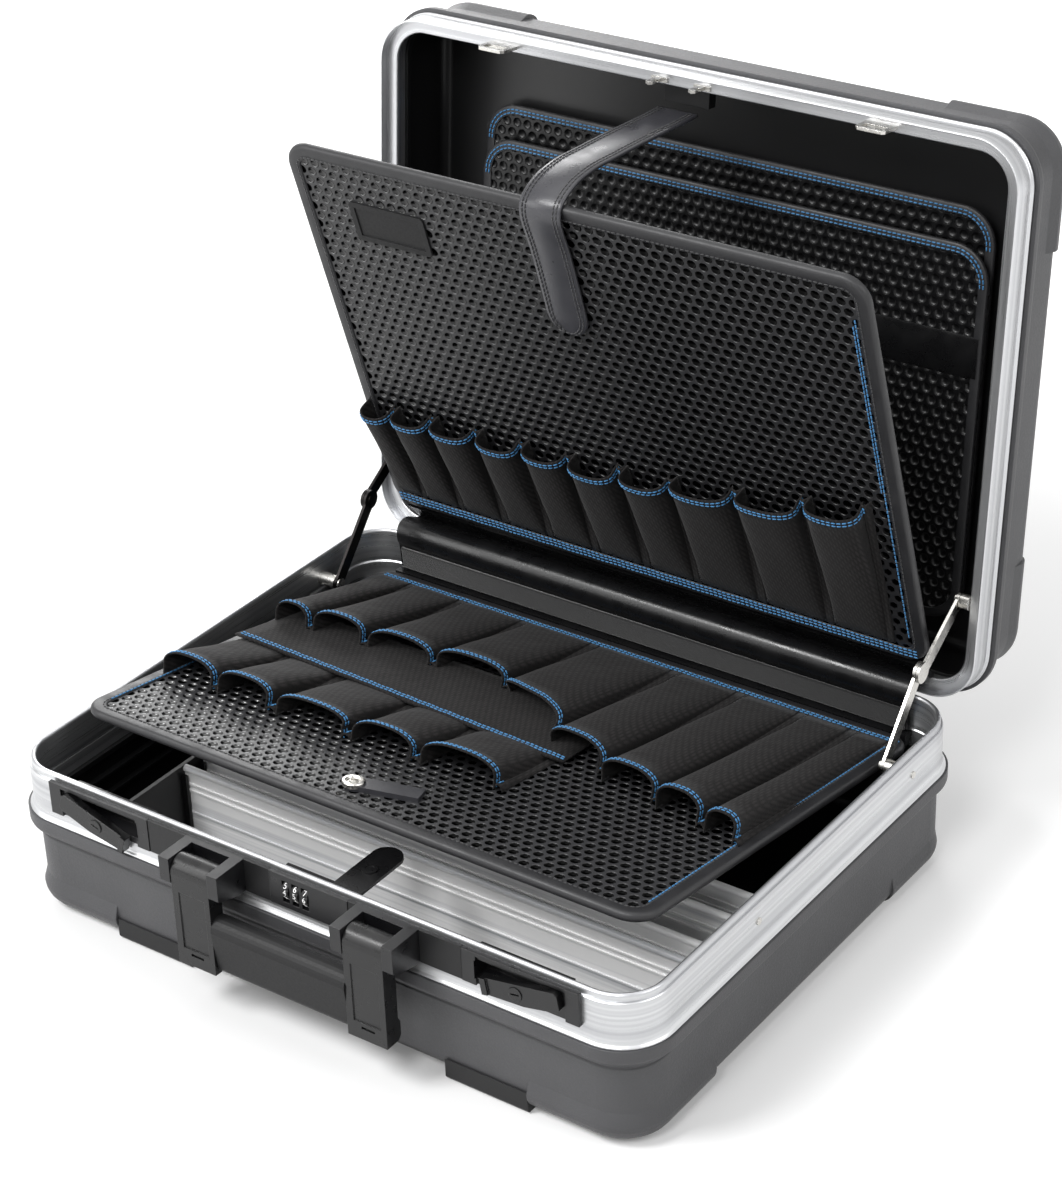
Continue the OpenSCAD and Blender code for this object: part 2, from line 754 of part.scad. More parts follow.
// Sheet loops that drop into the latch housings
module latch_loops() {
    w = loop_w / 2;
    color("silver") with_lid() for (s = [-1, 1]) translate([s * loop_place, loop_y + 1, close_z])
        rotate([90, 0, 0]) linear_extrude(2) difference() {
            polygon([[-w, 6], [w, 6], [w - 0.6, -8], [w - 2.6, -10], [2.6 - w, -10], [0.6 - w, -8]]);
            translate([3.2 - w, -6.8]) square([loop_w - 6.4, 6.4]);
        }
}

// Paired hooks that drop into the lock
module lock_hooks() {
    color("silver") with_lid() for (x = hook_places) translate([x, loop_y + 1, close_z]) {
        rotate([90, 0, 0]) linear_extrude(2) difference() {
            polygon([[-2.6, 6], [2.6, 6], [2.6, -7], [0.6, -9], [-2.6, -7]]);
            translate([0.4, -4]) square([3, 3.5]);
        }
        block(-6, 6, -2.2, 1, 4.6, 6);
    }
}

// Two layered document pockets on the lid's inner face
module document_pockets() {
    back = close_z + lid_height - 3;
    color([0.09, 0.09, 0.1]) with_lid() {
        document_pocket(case_width - 102, hinge_y - case_depth + 59, back - 10, 10);
        document_pocket(case_width - 108, hinge_y - case_depth + 81, back - 19, 9);
    }
}

// Sheet with side and bottom walls, open at the top
module document_pocket(w, y_top, z, depth) {
    y_end = hinge_y - 34;
    translate([0, 0, z]) {
        plate(w, y_top, y_end, 14, 2);
        for (s = [-1, 1])
            block(s * (w / 2 - 16) - 1, s * (w / 2 - 16) + 1, y_top + 14, y_end - 3, 2, depth);
        block(-w / 2 + 16, w / 2 - 16, y_end - 5, y_end - 3, 2, depth);
    }
}

strap_w = 30;
strap_x = -10;

// Block on the lid's front wall that holds the strap's end
strap_end = [hinge_y - case_depth + 19, close_z + lid_frame_height + 4.3];

module strap_anchor() {
    color([0.1, 0.1, 0.1]) with_lid()
        block(strap_x - strap_w / 2 - 2, strap_x + strap_w / 2 + 2, -inner_d, strap_end[0] + 3, strap_end[1],
            strap_end[1] + 8);
}

// Leather strap from its anchor over the board's top edge and down the board's front.
// Points are [distance along the board, height off its middle] for the part that lies on it.
module strap() {
    top = upper_board_length;
    low = top - 96;
    on_board = [[top + 1.6, -5], [top + 1, -3.4], [low, -3.4], [low, -5.8], [top + 2, -5.8],
        [top + 3.8, -4.2], [top + 3.8, 4]];
    turned_points = [for (p = on_board)
        turned([upper_pivot[0] - p[0], upper_pivot[1] + p[1]], upper_pivot, upper_board_tilt)];
    top_inside = turned([upper_pivot[0] - top - 1.4, upper_pivot[1] + 4], upper_pivot, upper_board_tilt);
    color([0.2, 0.2, 0.22]) with_lid() slab(strap_x - strap_w / 2, strap_x + strap_w / 2) polygon(concat(
        [strap_end + [2, 0], top_inside],
        [for (i = [0 : 6]) turned_points[i]],
        [strap_end]));
}

// ---- Lower board ----

module lower_board() {
    color([0.12, 0.12, 0.12]) with_lower_board() difference() {
        translate([0, 0, -board_t / 2])
            plate(board_width - 4, -lower_board_length + 2, -3, board_r, board_t);
    }
}

// Sewn tape round a board's edge
module binding(length) {
    translate([0, 0, -binding_t / 2]) linear_extrude(binding_t) difference() {
        plate_outline(board_width, -length, 0, board_r);
        plate_outline(board_width - 2 * binding_w, -length + binding_w, -binding_w, board_r - 8);
    }
}

module lower_binding() {
    color([0.08, 0.08, 0.08]) with_lower_board() difference() {
        binding(lower_board_length);
        translate([0, 0, -board_t / 2])
            plate(board_width - 4, -lower_board_length + 2, -3, board_r, board_t);
    }
}

// One tool pocket from its sewn end to its mouth: two sides and a sloping front
module pocket(x0, x1, near, mouth, h) {
    low = 2 * fabric;
    z = board_t / 2;
    difference() {
        slab(x0, x1) polygon([[-near, z], [-near, z + low], [-mouth, z + h], [-mouth, z]]);
        slab(x0 + fabric, x1 - fabric) polygon([[-near - 6, z - 1], [-near - 6, z + low - 0.8],
            [-mouth - 1, z + h - fabric], [-mouth - 1, z - 1]]);
    }
}

// Row of pockets between the listed seams, both lists as shares of the board's size
module pocket_row(seams, near, mouths) {
    w = board_width / 2;
    l = lower_board_length;
    for (i = [0 : len(mouths) - 1])
        pocket(seams[i] * w + 0.2, seams[i + 1] * w - 0.2, near, mouths[i] * l, pocket_height);
}

front_seams = [-0.958, -0.753, -0.526, -0.247, 0, 0.279];
back_left_seams = [-0.958, -0.828, -0.623, -0.372, -0.098];
back_right_seams = [-0.098, 0.209, 0.451, 0.665, 0.847, 0.958];

module front_pockets() {
    color([0.1, 0.1, 0.1]) with_lower_board()
        pocket_row(front_seams, lower_board_length * 0.556, [0.772, 0.772, 0.771, 0.766, 0.757]);
}

module back_pockets_left() {
    color([0.1, 0.1, 0.1]) with_lower_board()
        pocket_row(back_left_seams, 14, [0.41, 0.4, 0.386, 0.373]);
}

module back_pockets_right() {
    color([0.1, 0.1, 0.1]) with_lower_board()
        pocket_row(back_right_seams, 14, [0.443, 0.544, 0.592, 0.622, 0.639]);
}

// Folded pull loop held by a press stud
module pull_loop() {
    z = board_t / 2;
    with_lower_board() translate([-12, 28 - lower_board_length, z]) {
        color([0.15, 0.15, 0.16]) {
            cylinder(r = 8, h = 1.6);
            rotate([0, 0, 18]) block(0, 42, -7, 7, 0, 3.4);
        }
        color("silver") difference() {
            translate([0, 0, 1.6]) cylinder(r = 5.5, h = 2);
            translate([0, 0, 2.6]) cylinder(r = 3.4, h = 2);
        }
    }
}

// ---- Upper board ----

module upper_board() {
    color([0.12, 0.12, 0.12]) with_upper_board() translate([0, 0, -board_t / 2])
        plate(board_width - 4, -upper_board_length + 2, -3, board_r, board_t);
}

module upper_binding() {
    color([0.08, 0.08, 0.08]) with_upper_board() difference() {
        binding(upper_board_length);
        translate([0, 0, -board_t / 2])
            plate(board_width - 4, -upper_board_length + 2, -3, board_r, board_t);
    }
}

upper_left_seams = [-0.958, -0.851, -0.698, -0.521, -0.344, -0.167];
upper_right_seams = [-0.167, 0.028, 0.209, 0.451, 0.688, 0.893];

module upper_pockets_left() {
    color([0.1, 0.1, 0.1]) with_upper_board()
        pocket_row(upper_left_seams, 14, [0.311, 0.314, 0.317, 0.32, 0.323]);
}

module upper_pockets_right() {
    color([0.1, 0.1, 0.1]) with_upper_board()
        pocket_row(upper_right_seams, 14, [0.33, 0.339, 0.356, 0.384, 0.415]);
}

// Flat holder for a name card, left blank
module label_holder() {
    color([0.06, 0.06, 0.06]) with_upper_board()
        translate([-0.66 * board_width / 2, 37 - upper_board_length, board_t / 2]) difference() {
        plate(60, 0, 31, 3, 1.6);
        translate([-26, 4, 0.8]) cube([52, 23, 2]);
    }
}

base_shell();
base_frame();
feet();
latch_housing_left();
latch_housing_right();
cover_strips();
lock_housing();
handle_bracket_left();
handle_bracket_right();
divider_1();
divider_2();
divider_3();
divider_4();
cross_divider();
guide_strips();
hold_down_tab();
hinge_base();
hinge_pin();
hinge_cover();
board_hinge_strip();
stay_mounts_base();
frame_rivets();
lid_shell();
lid_frame();
latch_loops();
lock_hooks();
document_pockets();
hinge_lid();
stay_mounts_lid();
strap_anchor();
strap();
lid_hinge_flap();
latch_lever_left();
latch_lever_right();
key_cylinder_left();
key_cylinder_right();
dial_1();
dial_2();
dial_3();
handle_arms();
handle_grip();
stay_lower_left();
stay_lower_right();
stay_upper_left();
stay_upper_right();
lower_board();
lower_binding();
front_pockets();
back_pockets_left();
back_pockets_right();
pull_loop();
upper_board();
upper_binding();
upper_pockets_left();
upper_pockets_right();
label_holder();
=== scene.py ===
import math
import bpy
import bmesh
from mathutils import Matrix, Vector


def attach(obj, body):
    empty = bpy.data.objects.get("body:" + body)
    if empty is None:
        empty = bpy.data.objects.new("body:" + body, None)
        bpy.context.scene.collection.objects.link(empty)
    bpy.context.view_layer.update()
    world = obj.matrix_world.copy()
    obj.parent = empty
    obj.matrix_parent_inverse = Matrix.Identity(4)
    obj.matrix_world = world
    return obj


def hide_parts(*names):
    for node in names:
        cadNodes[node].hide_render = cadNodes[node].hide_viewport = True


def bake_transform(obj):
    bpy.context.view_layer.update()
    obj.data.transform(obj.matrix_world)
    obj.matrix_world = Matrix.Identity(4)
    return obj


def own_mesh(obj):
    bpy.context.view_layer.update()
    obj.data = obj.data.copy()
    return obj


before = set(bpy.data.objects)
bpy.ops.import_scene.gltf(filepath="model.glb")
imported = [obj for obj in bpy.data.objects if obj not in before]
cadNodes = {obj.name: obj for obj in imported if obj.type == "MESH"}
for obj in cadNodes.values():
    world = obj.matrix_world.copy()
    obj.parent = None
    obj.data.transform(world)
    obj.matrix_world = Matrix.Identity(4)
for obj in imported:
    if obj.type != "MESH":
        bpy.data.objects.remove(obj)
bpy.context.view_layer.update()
mm = 0.001
print("frame loaded:", len(cadNodes), "nodes")

# Sizes in millimetres, the same as the solids have
case = {"halfWidth": 240, "halfDepth": 187, "cornerRadius": 32, "hinge": (191.5, 98), "lidOpen": 95.4}
boardSize = {"width": 430, "radius": 18, "tapeWidth": 10.5, "tapeHeight": 3.1, "face": 2.2}
lowerBoard = {"length": 320, "pivot": (172, 81), "tilt": 9.1}
upperBoard = {"length": 318, "pivot": (191.657, 131.534), "lean": 17.3}


def lidPoint(x, y, z):
    # y and z are those of the shut lid
    angle = math.radians(-case["lidOpen"])
    dy, dz = y - case["hinge"][0], z - case["hinge"][1]
    return Vector((x, case["hinge"][0] + dy * math.cos(angle) - dz * math.sin(angle),
                   case["hinge"][1] + dy * math.sin(angle) + dz * math.cos(angle))) * mm


def lowerPoint(x, along, height):
    angle = math.radians(lowerBoard["tilt"])
    y, z = lowerBoard["pivot"]
    return Vector((x, y - along * math.cos(angle) + height * math.sin(angle),
                   z + along * math.sin(angle) + height * math.cos(angle))) * mm


def upperPoint(x, along, height):
    angle = math.radians(upperBoard["lean"])
    y, z = upperBoard["pivot"]
    return Vector((x, y - along * math.sin(angle) - height * math.cos(angle),
                   z + along * math.cos(angle) - height * math.sin(angle))) * mm


def boardNormal(toWorld):
    return (toWorld(0, 100, 1) - toWorld(0, 100, 0)).normalized()


def linearColour(hexText):
    channels = [int(hexText[i:i + 2], 16) / 255 for i in (1, 3, 5)]
    return [c / 12.92 if c <= 0.04045 else ((c + 0.055) / 1.055) ** 2.4 for c in channels] + [1.0]


def setInputs(tree, node, inputs):
    for key, value in inputs.items():
        if isinstance(value, bpy.types.NodeSocket):
            tree.links.new(value, node.inputs[key])
        else:
            node.inputs[key].default_value = value
    return node


def addNode(tree, kind, inputs=None, out=0, **settings):
    # Inputs are values or other nodes' outputs. Gives the output named, or the node itself where out is None.
    # A Mix node's ends are its inputs 2 and 3 for numbers, and 6 and 7 with output 2 for colours
    node = tree.nodes.new(kind)
    for key, value in settings.items():
        setattr(node, key, value)
    setInputs(tree, node, inputs or {})
    return node if out is None else node.outputs[out]


def startMaterial(name, colour, roughness, metallic=0.0):
    material = bpy.data.materials.new(name)
    material.use_nodes = True
    tree = material.node_tree
    material.diffuse_color = linearColour(colour)
    shader = setInputs(tree, tree.nodes["Principled BSDF"], {
        "Base Color": linearColour(colour), "Roughness": roughness, "Metallic": metallic})
    return material, tree, shader, addNode(tree, "ShaderNodeTexCoord", out="Object")


def mottled(tree, pattern, dark, light, low=0.3, high=0.7):
    # Colour that follows a pattern, dark where it is at low and light where it is at high
    share = addNode(tree, "ShaderNodeMapRange", {"Value": pattern, "From Min": low, "From Max": high})
    return addNode(tree, "ShaderNodeMix", {"Factor": share, 6: linearColour(dark), 7: linearColour(light)}, out=2,
                   data_type="RGBA")


def wornSurface(tree, shader, worn, sheen, grain, depth, strength, edge=None):
    # worn moves the roughness between the two values of sheen. grain stands depth high, on edges that look
    # rounded by edge, both in millimetres
    rough = addNode(tree, "ShaderNodeMapRange", {"Value": worn, "From Min": 0.3, "From Max": 0.7,
                                                 "To Min": sheen[0], "To Max": sheen[1]})
    relief = {"Height": grain, "Distance": depth * mm, "Strength": strength}
    if edge is not None:
        relief["Normal"] = addNode(tree, "ShaderNodeBevel", {"Radius": edge * mm}, samples=6)
    setInputs(tree, shader, {"Roughness": rough, "Normal": addNode(tree, "ShaderNodeBump", relief)})


def shutPlace(tree, place):
    # Place on the shut lid, for a pattern that follows its length and depth
    turn = Matrix.Rotation(math.radians(case["lidOpen"]), 3, "X")
    hinge = Vector((0, *case["hinge"])) * mm
    return addNode(tree, "ShaderNodeMapping", {"Vector": place, "Location": hinge - turn @ hinge,
                                               "Rotation": (math.radians(case["lidOpen"]), 0, 0)})


def outwardOf(tree, place):
    # Distance out from the rounded rectangle that joins the corners' centres, and the place's three parts
    parts = addNode(tree, "ShaderNodeSeparateXYZ", {"Vector": place}, out=None).outputs
    flat = addNode(tree, "ShaderNodeCombineXYZ", {"X": parts["X"], "Y": parts["Y"]})
    size = addNode(tree, "ShaderNodeVectorMath", {0: flat}, operation="ABSOLUTE")
    straight = [(case[k] - case["cornerRadius"]) * mm for k in ("halfWidth", "halfDepth")]
    over = addNode(tree, "ShaderNodeVectorMath", {0: size, 1: (*straight, 0)}, operation="SUBTRACT")
    over = addNode(tree, "ShaderNodeVectorMath", {0: over, 1: (0, 0, 0)}, operation="MAXIMUM")
    return addNode(tree, "ShaderNodeVectorMath", {0: over}, out="Value", operation="LENGTH"), parts


def within(tree, value, low, high):
    above = addNode(tree, "ShaderNodeMath", {0: value, 1: low * mm}, operation="GREATER_THAN")
    below = addNode(tree, "ShaderNodeMath", {0: value, 1: high * mm}, operation="LESS_THAN")
    return addNode(tree, "ShaderNodeMath", {0: above, 1: below}, operation="MULTIPLY")


# Where the shells' inner faces lie: out from the corners' centres, and above the floor
innerFaces = {"outward": (-1, 28.6), "height": (5.5, 174.5)}


def mouldedAbs(name, dark, light, closedLid=False):
    # Vacuum-formed ABS with a fine leather grain outside, and smooth, darker and satin inside
    material, tree, shader, place = startMaterial(name, light, 0.5)
    outward, parts = outwardOf(tree, shutPlace(tree, place) if closedLid else place)
    inside = addNode(tree, "ShaderNodeMath", {0: within(tree, outward, *innerFaces["outward"]),
                                              1: within(tree, parts["Z"], *innerFaces["height"])},
                     operation="MULTIPLY")
    clouds = addNode(tree, "ShaderNodeTexNoise", {"Vector": place, "Scale": 1000 / 60})
    colour = addNode(tree, "ShaderNodeMix", {"Factor": inside, 6: mottled(tree, clouds, dark, light),
                                             7: linearColour("#121213")}, out=2, data_type="RGBA")
    fine = addNode(tree, "ShaderNodeTexNoise", {"Vector": place, "Scale": 1000 / 0.8, "Detail": 3})
    satin = addNode(tree, "ShaderNodeMapRange", {"Value": fine, "From Min": 0.3, "From Max": 0.7, "To Min": 0.43,
                                                 "To Max": 0.6})
    rough = addNode(tree, "ShaderNodeMix", {"Factor": inside, 2: satin, 3: 0.36}, data_type="FLOAT")
    pebbles = addNode(tree, "ShaderNodeTexVoronoi", {"Vector": place, "Scale": 1000 / 1.5, "Randomness": 1.0},
                      feature="SMOOTH_F1")
    height = addNode(tree, "ShaderNodeMath", {0: pebbles, 1: fine}, operation="ADD")
    strength = addNode(tree, "ShaderNodeMapRange", {"Value": inside, "To Min": 0.55, "To Max": 0.08})
    edge = addNode(tree, "ShaderNodeBevel", {"Radius": 1.2 * mm}, samples=6)
    grain = addNode(tree, "ShaderNodeBump", {"Height": height, "Distance": 0.22 * mm, "Strength": strength,
                                             "Normal": edge})
    setInputs(tree, shader, {"Base Color": colour, "Roughness": rough, "Normal": grain})
    return material


def extrudedAluminium(name, closedLid=False):
    # Drawn and satin anodised section: the die leaves fine lines along its length
    material, tree, shader, place = startMaterial(name, "#c6c7c9", 0.32, 0.9)
    outward, parts = outwardOf(tree, shutPlace(tree, place) if closedLid else place)
    along = addNode(tree, "ShaderNodeMath", {0: parts["X"], 1: parts["Y"]}, operation="ADD")
    along = addNode(tree, "ShaderNodeMath", {0: along, 1: 0.004}, operation="MULTIPLY")
    lines = addNode(tree, "ShaderNodeCombineXYZ", {"X": outward, "Y": parts["Z"], "Z": along})
    fine = addNode(tree, "ShaderNodeTexNoise", {"Vector": lines, "Scale": 1000 / 0.7, "Detail": 4,
                                                "Roughness": 0.65})   # die lines, drawn coarser than they are
    broad = addNode(tree, "ShaderNodeTexNoise", {"Vector": lines, "Scale": 1000 / 4.5})
    setInputs(tree, shader, {"Base Color": mottled(tree, broad, "#b4b5b8", "#d6d7d8")})
    wornSurface(tree, shader, fine, (0.24, 0.42), fine, 0.02, 0.4, 0.35)
    return material


def drawnAluminium(name):
    # Satin divider sections with die lines along X, on a near-white, almost non-metallic base that looks lit, with
    # broad painted reflections streaked along X
    material, tree, shader, place = startMaterial(name, "#f8f8f8", 0.4, 0.05)
    lines = addNode(tree, "ShaderNodeMapping", {"Vector": place, "Scale": (0.01, 1, 1)})
    fine = addNode(tree, "ShaderNodeTexNoise", {"Vector": lines, "Scale": 1000 / 0.7, "Detail": 4, "Roughness": 0.6})
    paintedReflections = addNode(tree, "ShaderNodeTexNoise", {"Vector": lines, "Scale": 1000 / 9, "Detail": 3,
                                                   "Roughness": 0.6})
    setInputs(tree, shader, {"Base Color": mottled(tree, paintedReflections, "#c4c6ca", "#ffffff", 0.3, 0.5)})
    wornSurface(tree, shader, fine, (0.3, 0.46), fine, 0.02, 0.4, 0.3)
    return material


def powderCoat(name, colour, roughness):
    # Die-cast zinc with black powder paint: satin, with a fine orange peel
    material, tree, shader, place = startMaterial(name, colour, roughness)
    worn = addNode(tree, "ShaderNodeTexNoise", {"Vector": place, "Scale": 1000 / 9, "Detail": 3})
    peel = addNode(tree, "ShaderNodeTexNoise", {"Vector": place, "Scale": 1000 / 0.7, "Detail": 3})
    wornSurface(tree, shader, worn, (roughness - 0.07, roughness + 0.08), peel, 0.05, 0.5, 0.5)
    return material


def mouldedPlastic(name, colour, roughness, grain=0.9, depth=0.06):
    # Injection-moulded: an even satin with a fine pebble from the mould
    material, tree, shader, place = startMaterial(name, colour, roughness)
    fine = addNode(tree, "ShaderNodeTexNoise", {"Vector": place, "Scale": 1000 / grain, "Detail": 3})
    setInputs(tree, shader, {"Specular IOR Level": 0.35})
    wornSurface(tree, shader, fine, (roughness - 0.06, roughness + 0.06), fine, depth, 0.5, 0.4)
    return material


def platedSteel(name, colour, roughness=0.24):
    # Nickel on rolled sheet: bright, with faint rolling marks and smudges
    material, tree, shader, place = startMaterial(name, colour, roughness, 1.0)
    smudge = addNode(tree, "ShaderNodeTexNoise", {"Vector": place, "Scale": 1000 / 6, "Detail": 3})
    rolled = addNode(tree, "ShaderNodeTexNoise", {"Vector": place, "Scale": 1000 / 1.5, "Detail": 3})
    wornSurface(tree, shader, smudge, (roughness - 0.05, roughness + 0.12), rolled, 0.02, 0.4, 0.25)
    return material


def embossedSheet(name, toWorld, height, faceColour, leftGlint):
    # Black polypropylene: satin between the dimples and glossy down in them, where painted shade colours the bowls
    # near black
    material, tree, shader, place = startMaterial(name, "#1c1c1d", 0.4)
    normal = boardNormal(toWorld)
    level = toWorld(0, 100, height).dot(normal)
    depth = addNode(tree, "ShaderNodeVectorMath", {0: place, 1: normal}, out="Value", operation="DOT_PRODUCT")
    deep = addNode(tree, "ShaderNodeMapRange", {"Value": depth, "From Min": level - 0.0001,
                                                "From Max": level - 0.0005})
    # painted shade: below the face, the dimples' walls and bottoms are coloured near black
    colour = addNode(tree, "ShaderNodeMix", {"Factor": deep, 6: linearColour(faceColour),
                                             7: linearColour("#010101")}, out=2, data_type="RGBA")
    rough = addNode(tree, "ShaderNodeMapRange", {"Value": deep, "To Min": 0.48, "To Max": 0.2})
    across = addNode(tree, "ShaderNodeSeparateXYZ", {"Vector": place}, out="X")
    paintedGlint = addNode(tree, "ShaderNodeMapRange", {"Value": across, "From Min": 0.04, "From Max": -0.18,
                                                  "To Min": 0.04, "To Max": leftGlint})   # painted glints: the reflection is made stronger on the left half
    gloss = addNode(tree, "ShaderNodeMix", {"Factor": deep, 2: 0.45, 3: paintedGlint}, data_type="FLOAT")
    waves = addNode(tree, "ShaderNodeTexNoise", {"Vector": place, "Scale": 1000 / 2.5, "Detail": 3})
    relief = addNode(tree, "ShaderNodeBump", {"Height": waves, "Distance": 0.03 * mm, "Strength": 0.5})
    setInputs(tree, shader, {"Base Color": colour, "IOR": 1.6, "Roughness": rough, "Specular IOR Level": gloss,
                             "Normal": relief})
    return material


def wovenFabric(name, dark, light, thread, sheen):
    # Plain weave polyester, threads drawn at about twice their real width so that they show
    material, tree, shader, place = startMaterial(name, light, 0.82)
    turned = addNode(tree, "ShaderNodeMapping", {"Vector": place, "Rotation": (math.radians(-9), 0, 0)})
    weave = {"Vector": turned, "Scale": 1000 / thread / 6.283, "Distortion": 0.6, "Detail": 1.0}
    threads = [addNode(tree, "ShaderNodeTexWave", weave, out="Fac", bands_direction=way)
               for way in ("X", "DIAGONAL")]
    crossed = addNode(tree, "ShaderNodeMath", dict(enumerate(threads)), operation="MULTIPLY")
    fuzz = addNode(tree, "ShaderNodeTexNoise", {"Vector": place, "Scale": 1000 / 0.9, "Detail": 4, "Roughness": 0.7})
    mixed = addNode(tree, "ShaderNodeMath", {0: crossed, 1: fuzz}, operation="ADD")
    crumpled = addNode(tree, "ShaderNodeTexNoise", {"Vector": place, "Scale": 1000 / 16, "Detail": 3,
                                                    "Roughness": 0.6})
    creases = addNode(tree, "ShaderNodeBump", {"Height": crumpled, "Distance": 1.6 * mm, "Strength": 0.5})
    relief = addNode(tree, "ShaderNodeBump", {"Height": mixed, "Distance": 0.16 * mm, "Strength": 0.6,
                                              "Normal": creases})
    setInputs(tree, shader, {"Base Color": mottled(tree, mixed, dark, light, 0.3, 1.2), "Sheen Weight": sheen,
                             "Sheen Roughness": 0.5, "Specular IOR Level": 0.18, "Normal": relief})
    return material


def stitchThread(name, colour):
    # Twisted polyester thread: a soft sheen, ribbed by its twist
    material, tree, shader, place = startMaterial(name, colour, 0.55)
    twist = addNode(tree, "ShaderNodeTexWave", {"Vector": place, "Scale": 1000 / 0.7 / 6.283}, out="Fac",
                    bands_direction="DIAGONAL")
    ribs = addNode(tree, "ShaderNodeBump", {"Height": twist, "Distance": 0.1 * mm, "Strength": 0.5})
    setInputs(tree, shader, {"Sheen Weight": 0.2, "Normal": ribs})
    return material


def smoothLeather(name, colour, roughness=0.42):
    # Finished leather: a fine pore grain under a satin top coat
    material, tree, shader, place = startMaterial(name, colour, roughness)
    worn = addNode(tree, "ShaderNodeTexNoise", {"Vector": place, "Scale": 1000 / 14, "Detail": 3})
    pores = addNode(tree, "ShaderNodeTexVoronoi", {"Vector": place, "Scale": 1000 / 1.1})
    wornSurface(tree, shader, worn, (roughness - 0.08, roughness + 0.08), pores, 0.09, 0.5)
    return material


def looseLoop(name, colour):
    # Loop side of a touch fastener: matted fine fibres
    material, tree, shader, place = startMaterial(name, colour, 0.95)
    matted = addNode(tree, "ShaderNodeTexNoise", {"Vector": place, "Scale": 1000 / 1.6, "Detail": 6,
                                                  "Roughness": 0.8})
    fibres = addNode(tree, "ShaderNodeBump", {"Height": matted, "Distance": 0.6 * mm, "Strength": 0.9})
    setInputs(tree, shader, {"Base Color": mottled(tree, matted, "#050505", colour), "Sheen Weight": 0.35,
                             "Normal": fibres})
    return material


finish = {
    "shell": mouldedAbs("grainedAbs", "#3f3f41", "#48484a"),
    "lidShell": mouldedAbs("grainedAbsLid", "#3f3f41", "#48484a", True),
    "baseFrame": extrudedAluminium("anodisedAluminiumBase"),
    "lidFrame": extrudedAluminium("anodisedAluminiumLid", True),
    "divider": drawnAluminium("drawnAluminium"),
    "hardware": powderCoat("powderCoatedZinc", "#0b0b0c", 0.3),
    "hardwareDull": powderCoat("powderCoatedZincDull", "#0e0e10", 0.34),
    "trim": mouldedPlastic("mouldedNylon", "#141415", 0.42),
    "steel": platedSteel("nickelPlatedSteel", "#c9c7c2"),
    # painted shade: the left stays are the same nickel-plated steel as the right ones, coloured dark because they
    # stand in shade
    "darkSteel": platedSteel("blackNickelSteel", "#2c2a2a", 0.34),
    "board": mouldedPlastic("embossedPolypropylene", "#0e0e0f", 0.34, 2.5, 0.03),
    # painted shade: both boards are the same polypropylene, the upper face coloured darker to offset the light that
    # falls on it
    "lowerFace": embossedSheet("embossedPolypropyleneLower", lowerPoint, boardSize["face"], "#2a2a2c", 1.0),
    "upperFace": embossedSheet("embossedPolypropyleneUpper", upperPoint, boardSize["face"], "#1c1c1e", 0.5),
    "fabric": wovenFabric("polyesterFabric", "#0a0909", "#262424", 1.1, 0.05),
    "tape": smoothLeather("bindingTape", "#1f1f21", 0.5),
    "blueThread": stitchThread("blueThread", "#3478ab"),
    "blackThread": stitchThread("blackThread", "#1a1a1c"),
    "leather": smoothLeather("smoothLeather", "#2a2a2e"),
    "strap": smoothLeather("strapLeather", "#38383c", 0.32),
    "vinyl": smoothLeather("blackVinyl", "#101011", 0.28),
    "loop": looseLoop("fastenerLoop", "#0c0c0d"),
    "rubber": mouldedPlastic("softRubber", "#131314", 0.55, 1.2, 0.05),
    "label": mouldedPlastic("labelFilm", "#0a0a0b", 0.62, 1.5, 0.02),
    "digit": mouldedPlastic("whitePrint", "#ffffff", 0.5, 1.0, 0.0),
}
nodeFinish = {
    "shell": ["base_shell"], "lidShell": ["lid_shell"], "baseFrame": ["base_frame"], "lidFrame": ["lid_frame"],
    "divider": ["divider_1", "divider_2", "divider_3", "divider_4"],
    "hardware": ["latch_lever_left", "latch_lever_right", "key_cylinder_left", "key_cylinder_right",
                 "handle_arms"],
    "hardwareDull": ["latch_housing_left", "latch_housing_right", "lock_housing", "handle_bracket_left",
                     "handle_bracket_right"],
    "trim": ["cover_strips", "feet", "cross_divider", "guide_strips", "dial_1", "dial_2", "dial_3",
             "strap_anchor"],
    "steel": ["hinge_base", "hinge_pin", "hinge_lid", "stay_mounts_base", "stay_mounts_lid", "frame_rivets",
              "latch_loops", "lock_hooks", "stay_lower_right", "stay_upper_right"],
    # the left stays take the painted-shade copy of the steel
    "darkSteel": ["stay_lower_left", "stay_upper_left"],
    "rubber": ["handle_grip"], "vinyl": ["lid_hinge_flap", "board_hinge_strip", "hold_down_tab"],
    "label": ["label_holder"], "leather": ["pull_loop"],
}
for key, names in nodeFinish.items():
    for name in names:
        cadNodes[name].data.materials.clear()
        cadNodes[name].data.materials.append(finish[key])
print("materials:", len(finish))


def addObject(name, data):
    made = bpy.data.objects.new(name, data)
    bpy.context.scene.collection.objects.link(made)
    return made


def meshOf(name, points, edges=(), faces=()):
    mesh = bpy.data.meshes.new(name)
    mesh.from_pydata([tuple(p) for p in points], edges, faces)
    return mesh


def makePiece(name, points, faces, material, smooth=True, outward=False):
    mesh = meshOf(name, points, faces=faces)
    work = bmesh.new()
    work.from_mesh(mesh)
    bmesh.ops.remove_doubles(work, verts=work.verts, dist=1e-6)
    if outward:
        bmesh.ops.recalc_face_normals(work, faces=work.faces)
    work.to_mesh(mesh)
    work.free()
    mesh.materials.append(material)
    mesh.shade_smooth() if smooth else mesh.shade_flat()
    return addObject(name, mesh)


def settle(piece):
    # Modifiers become plain mesh
    made = bpy.data.meshes.new_from_object(piece.evaluated_get(bpy.context.evaluated_depsgraph_get()))
    old = piece.data
    piece.modifiers.clear()
    piece.data = made
    made.name = piece.name
    bpy.data.meshes.remove(old)
    return piece


def thicken(piece, thickness):
    # Half of it to each side
    modifier = piece.modifiers.new("wall", "SOLIDIFY")
    modifier.thickness = thickness * mm
    modifier.offset = 0.0
    return settle(piece)


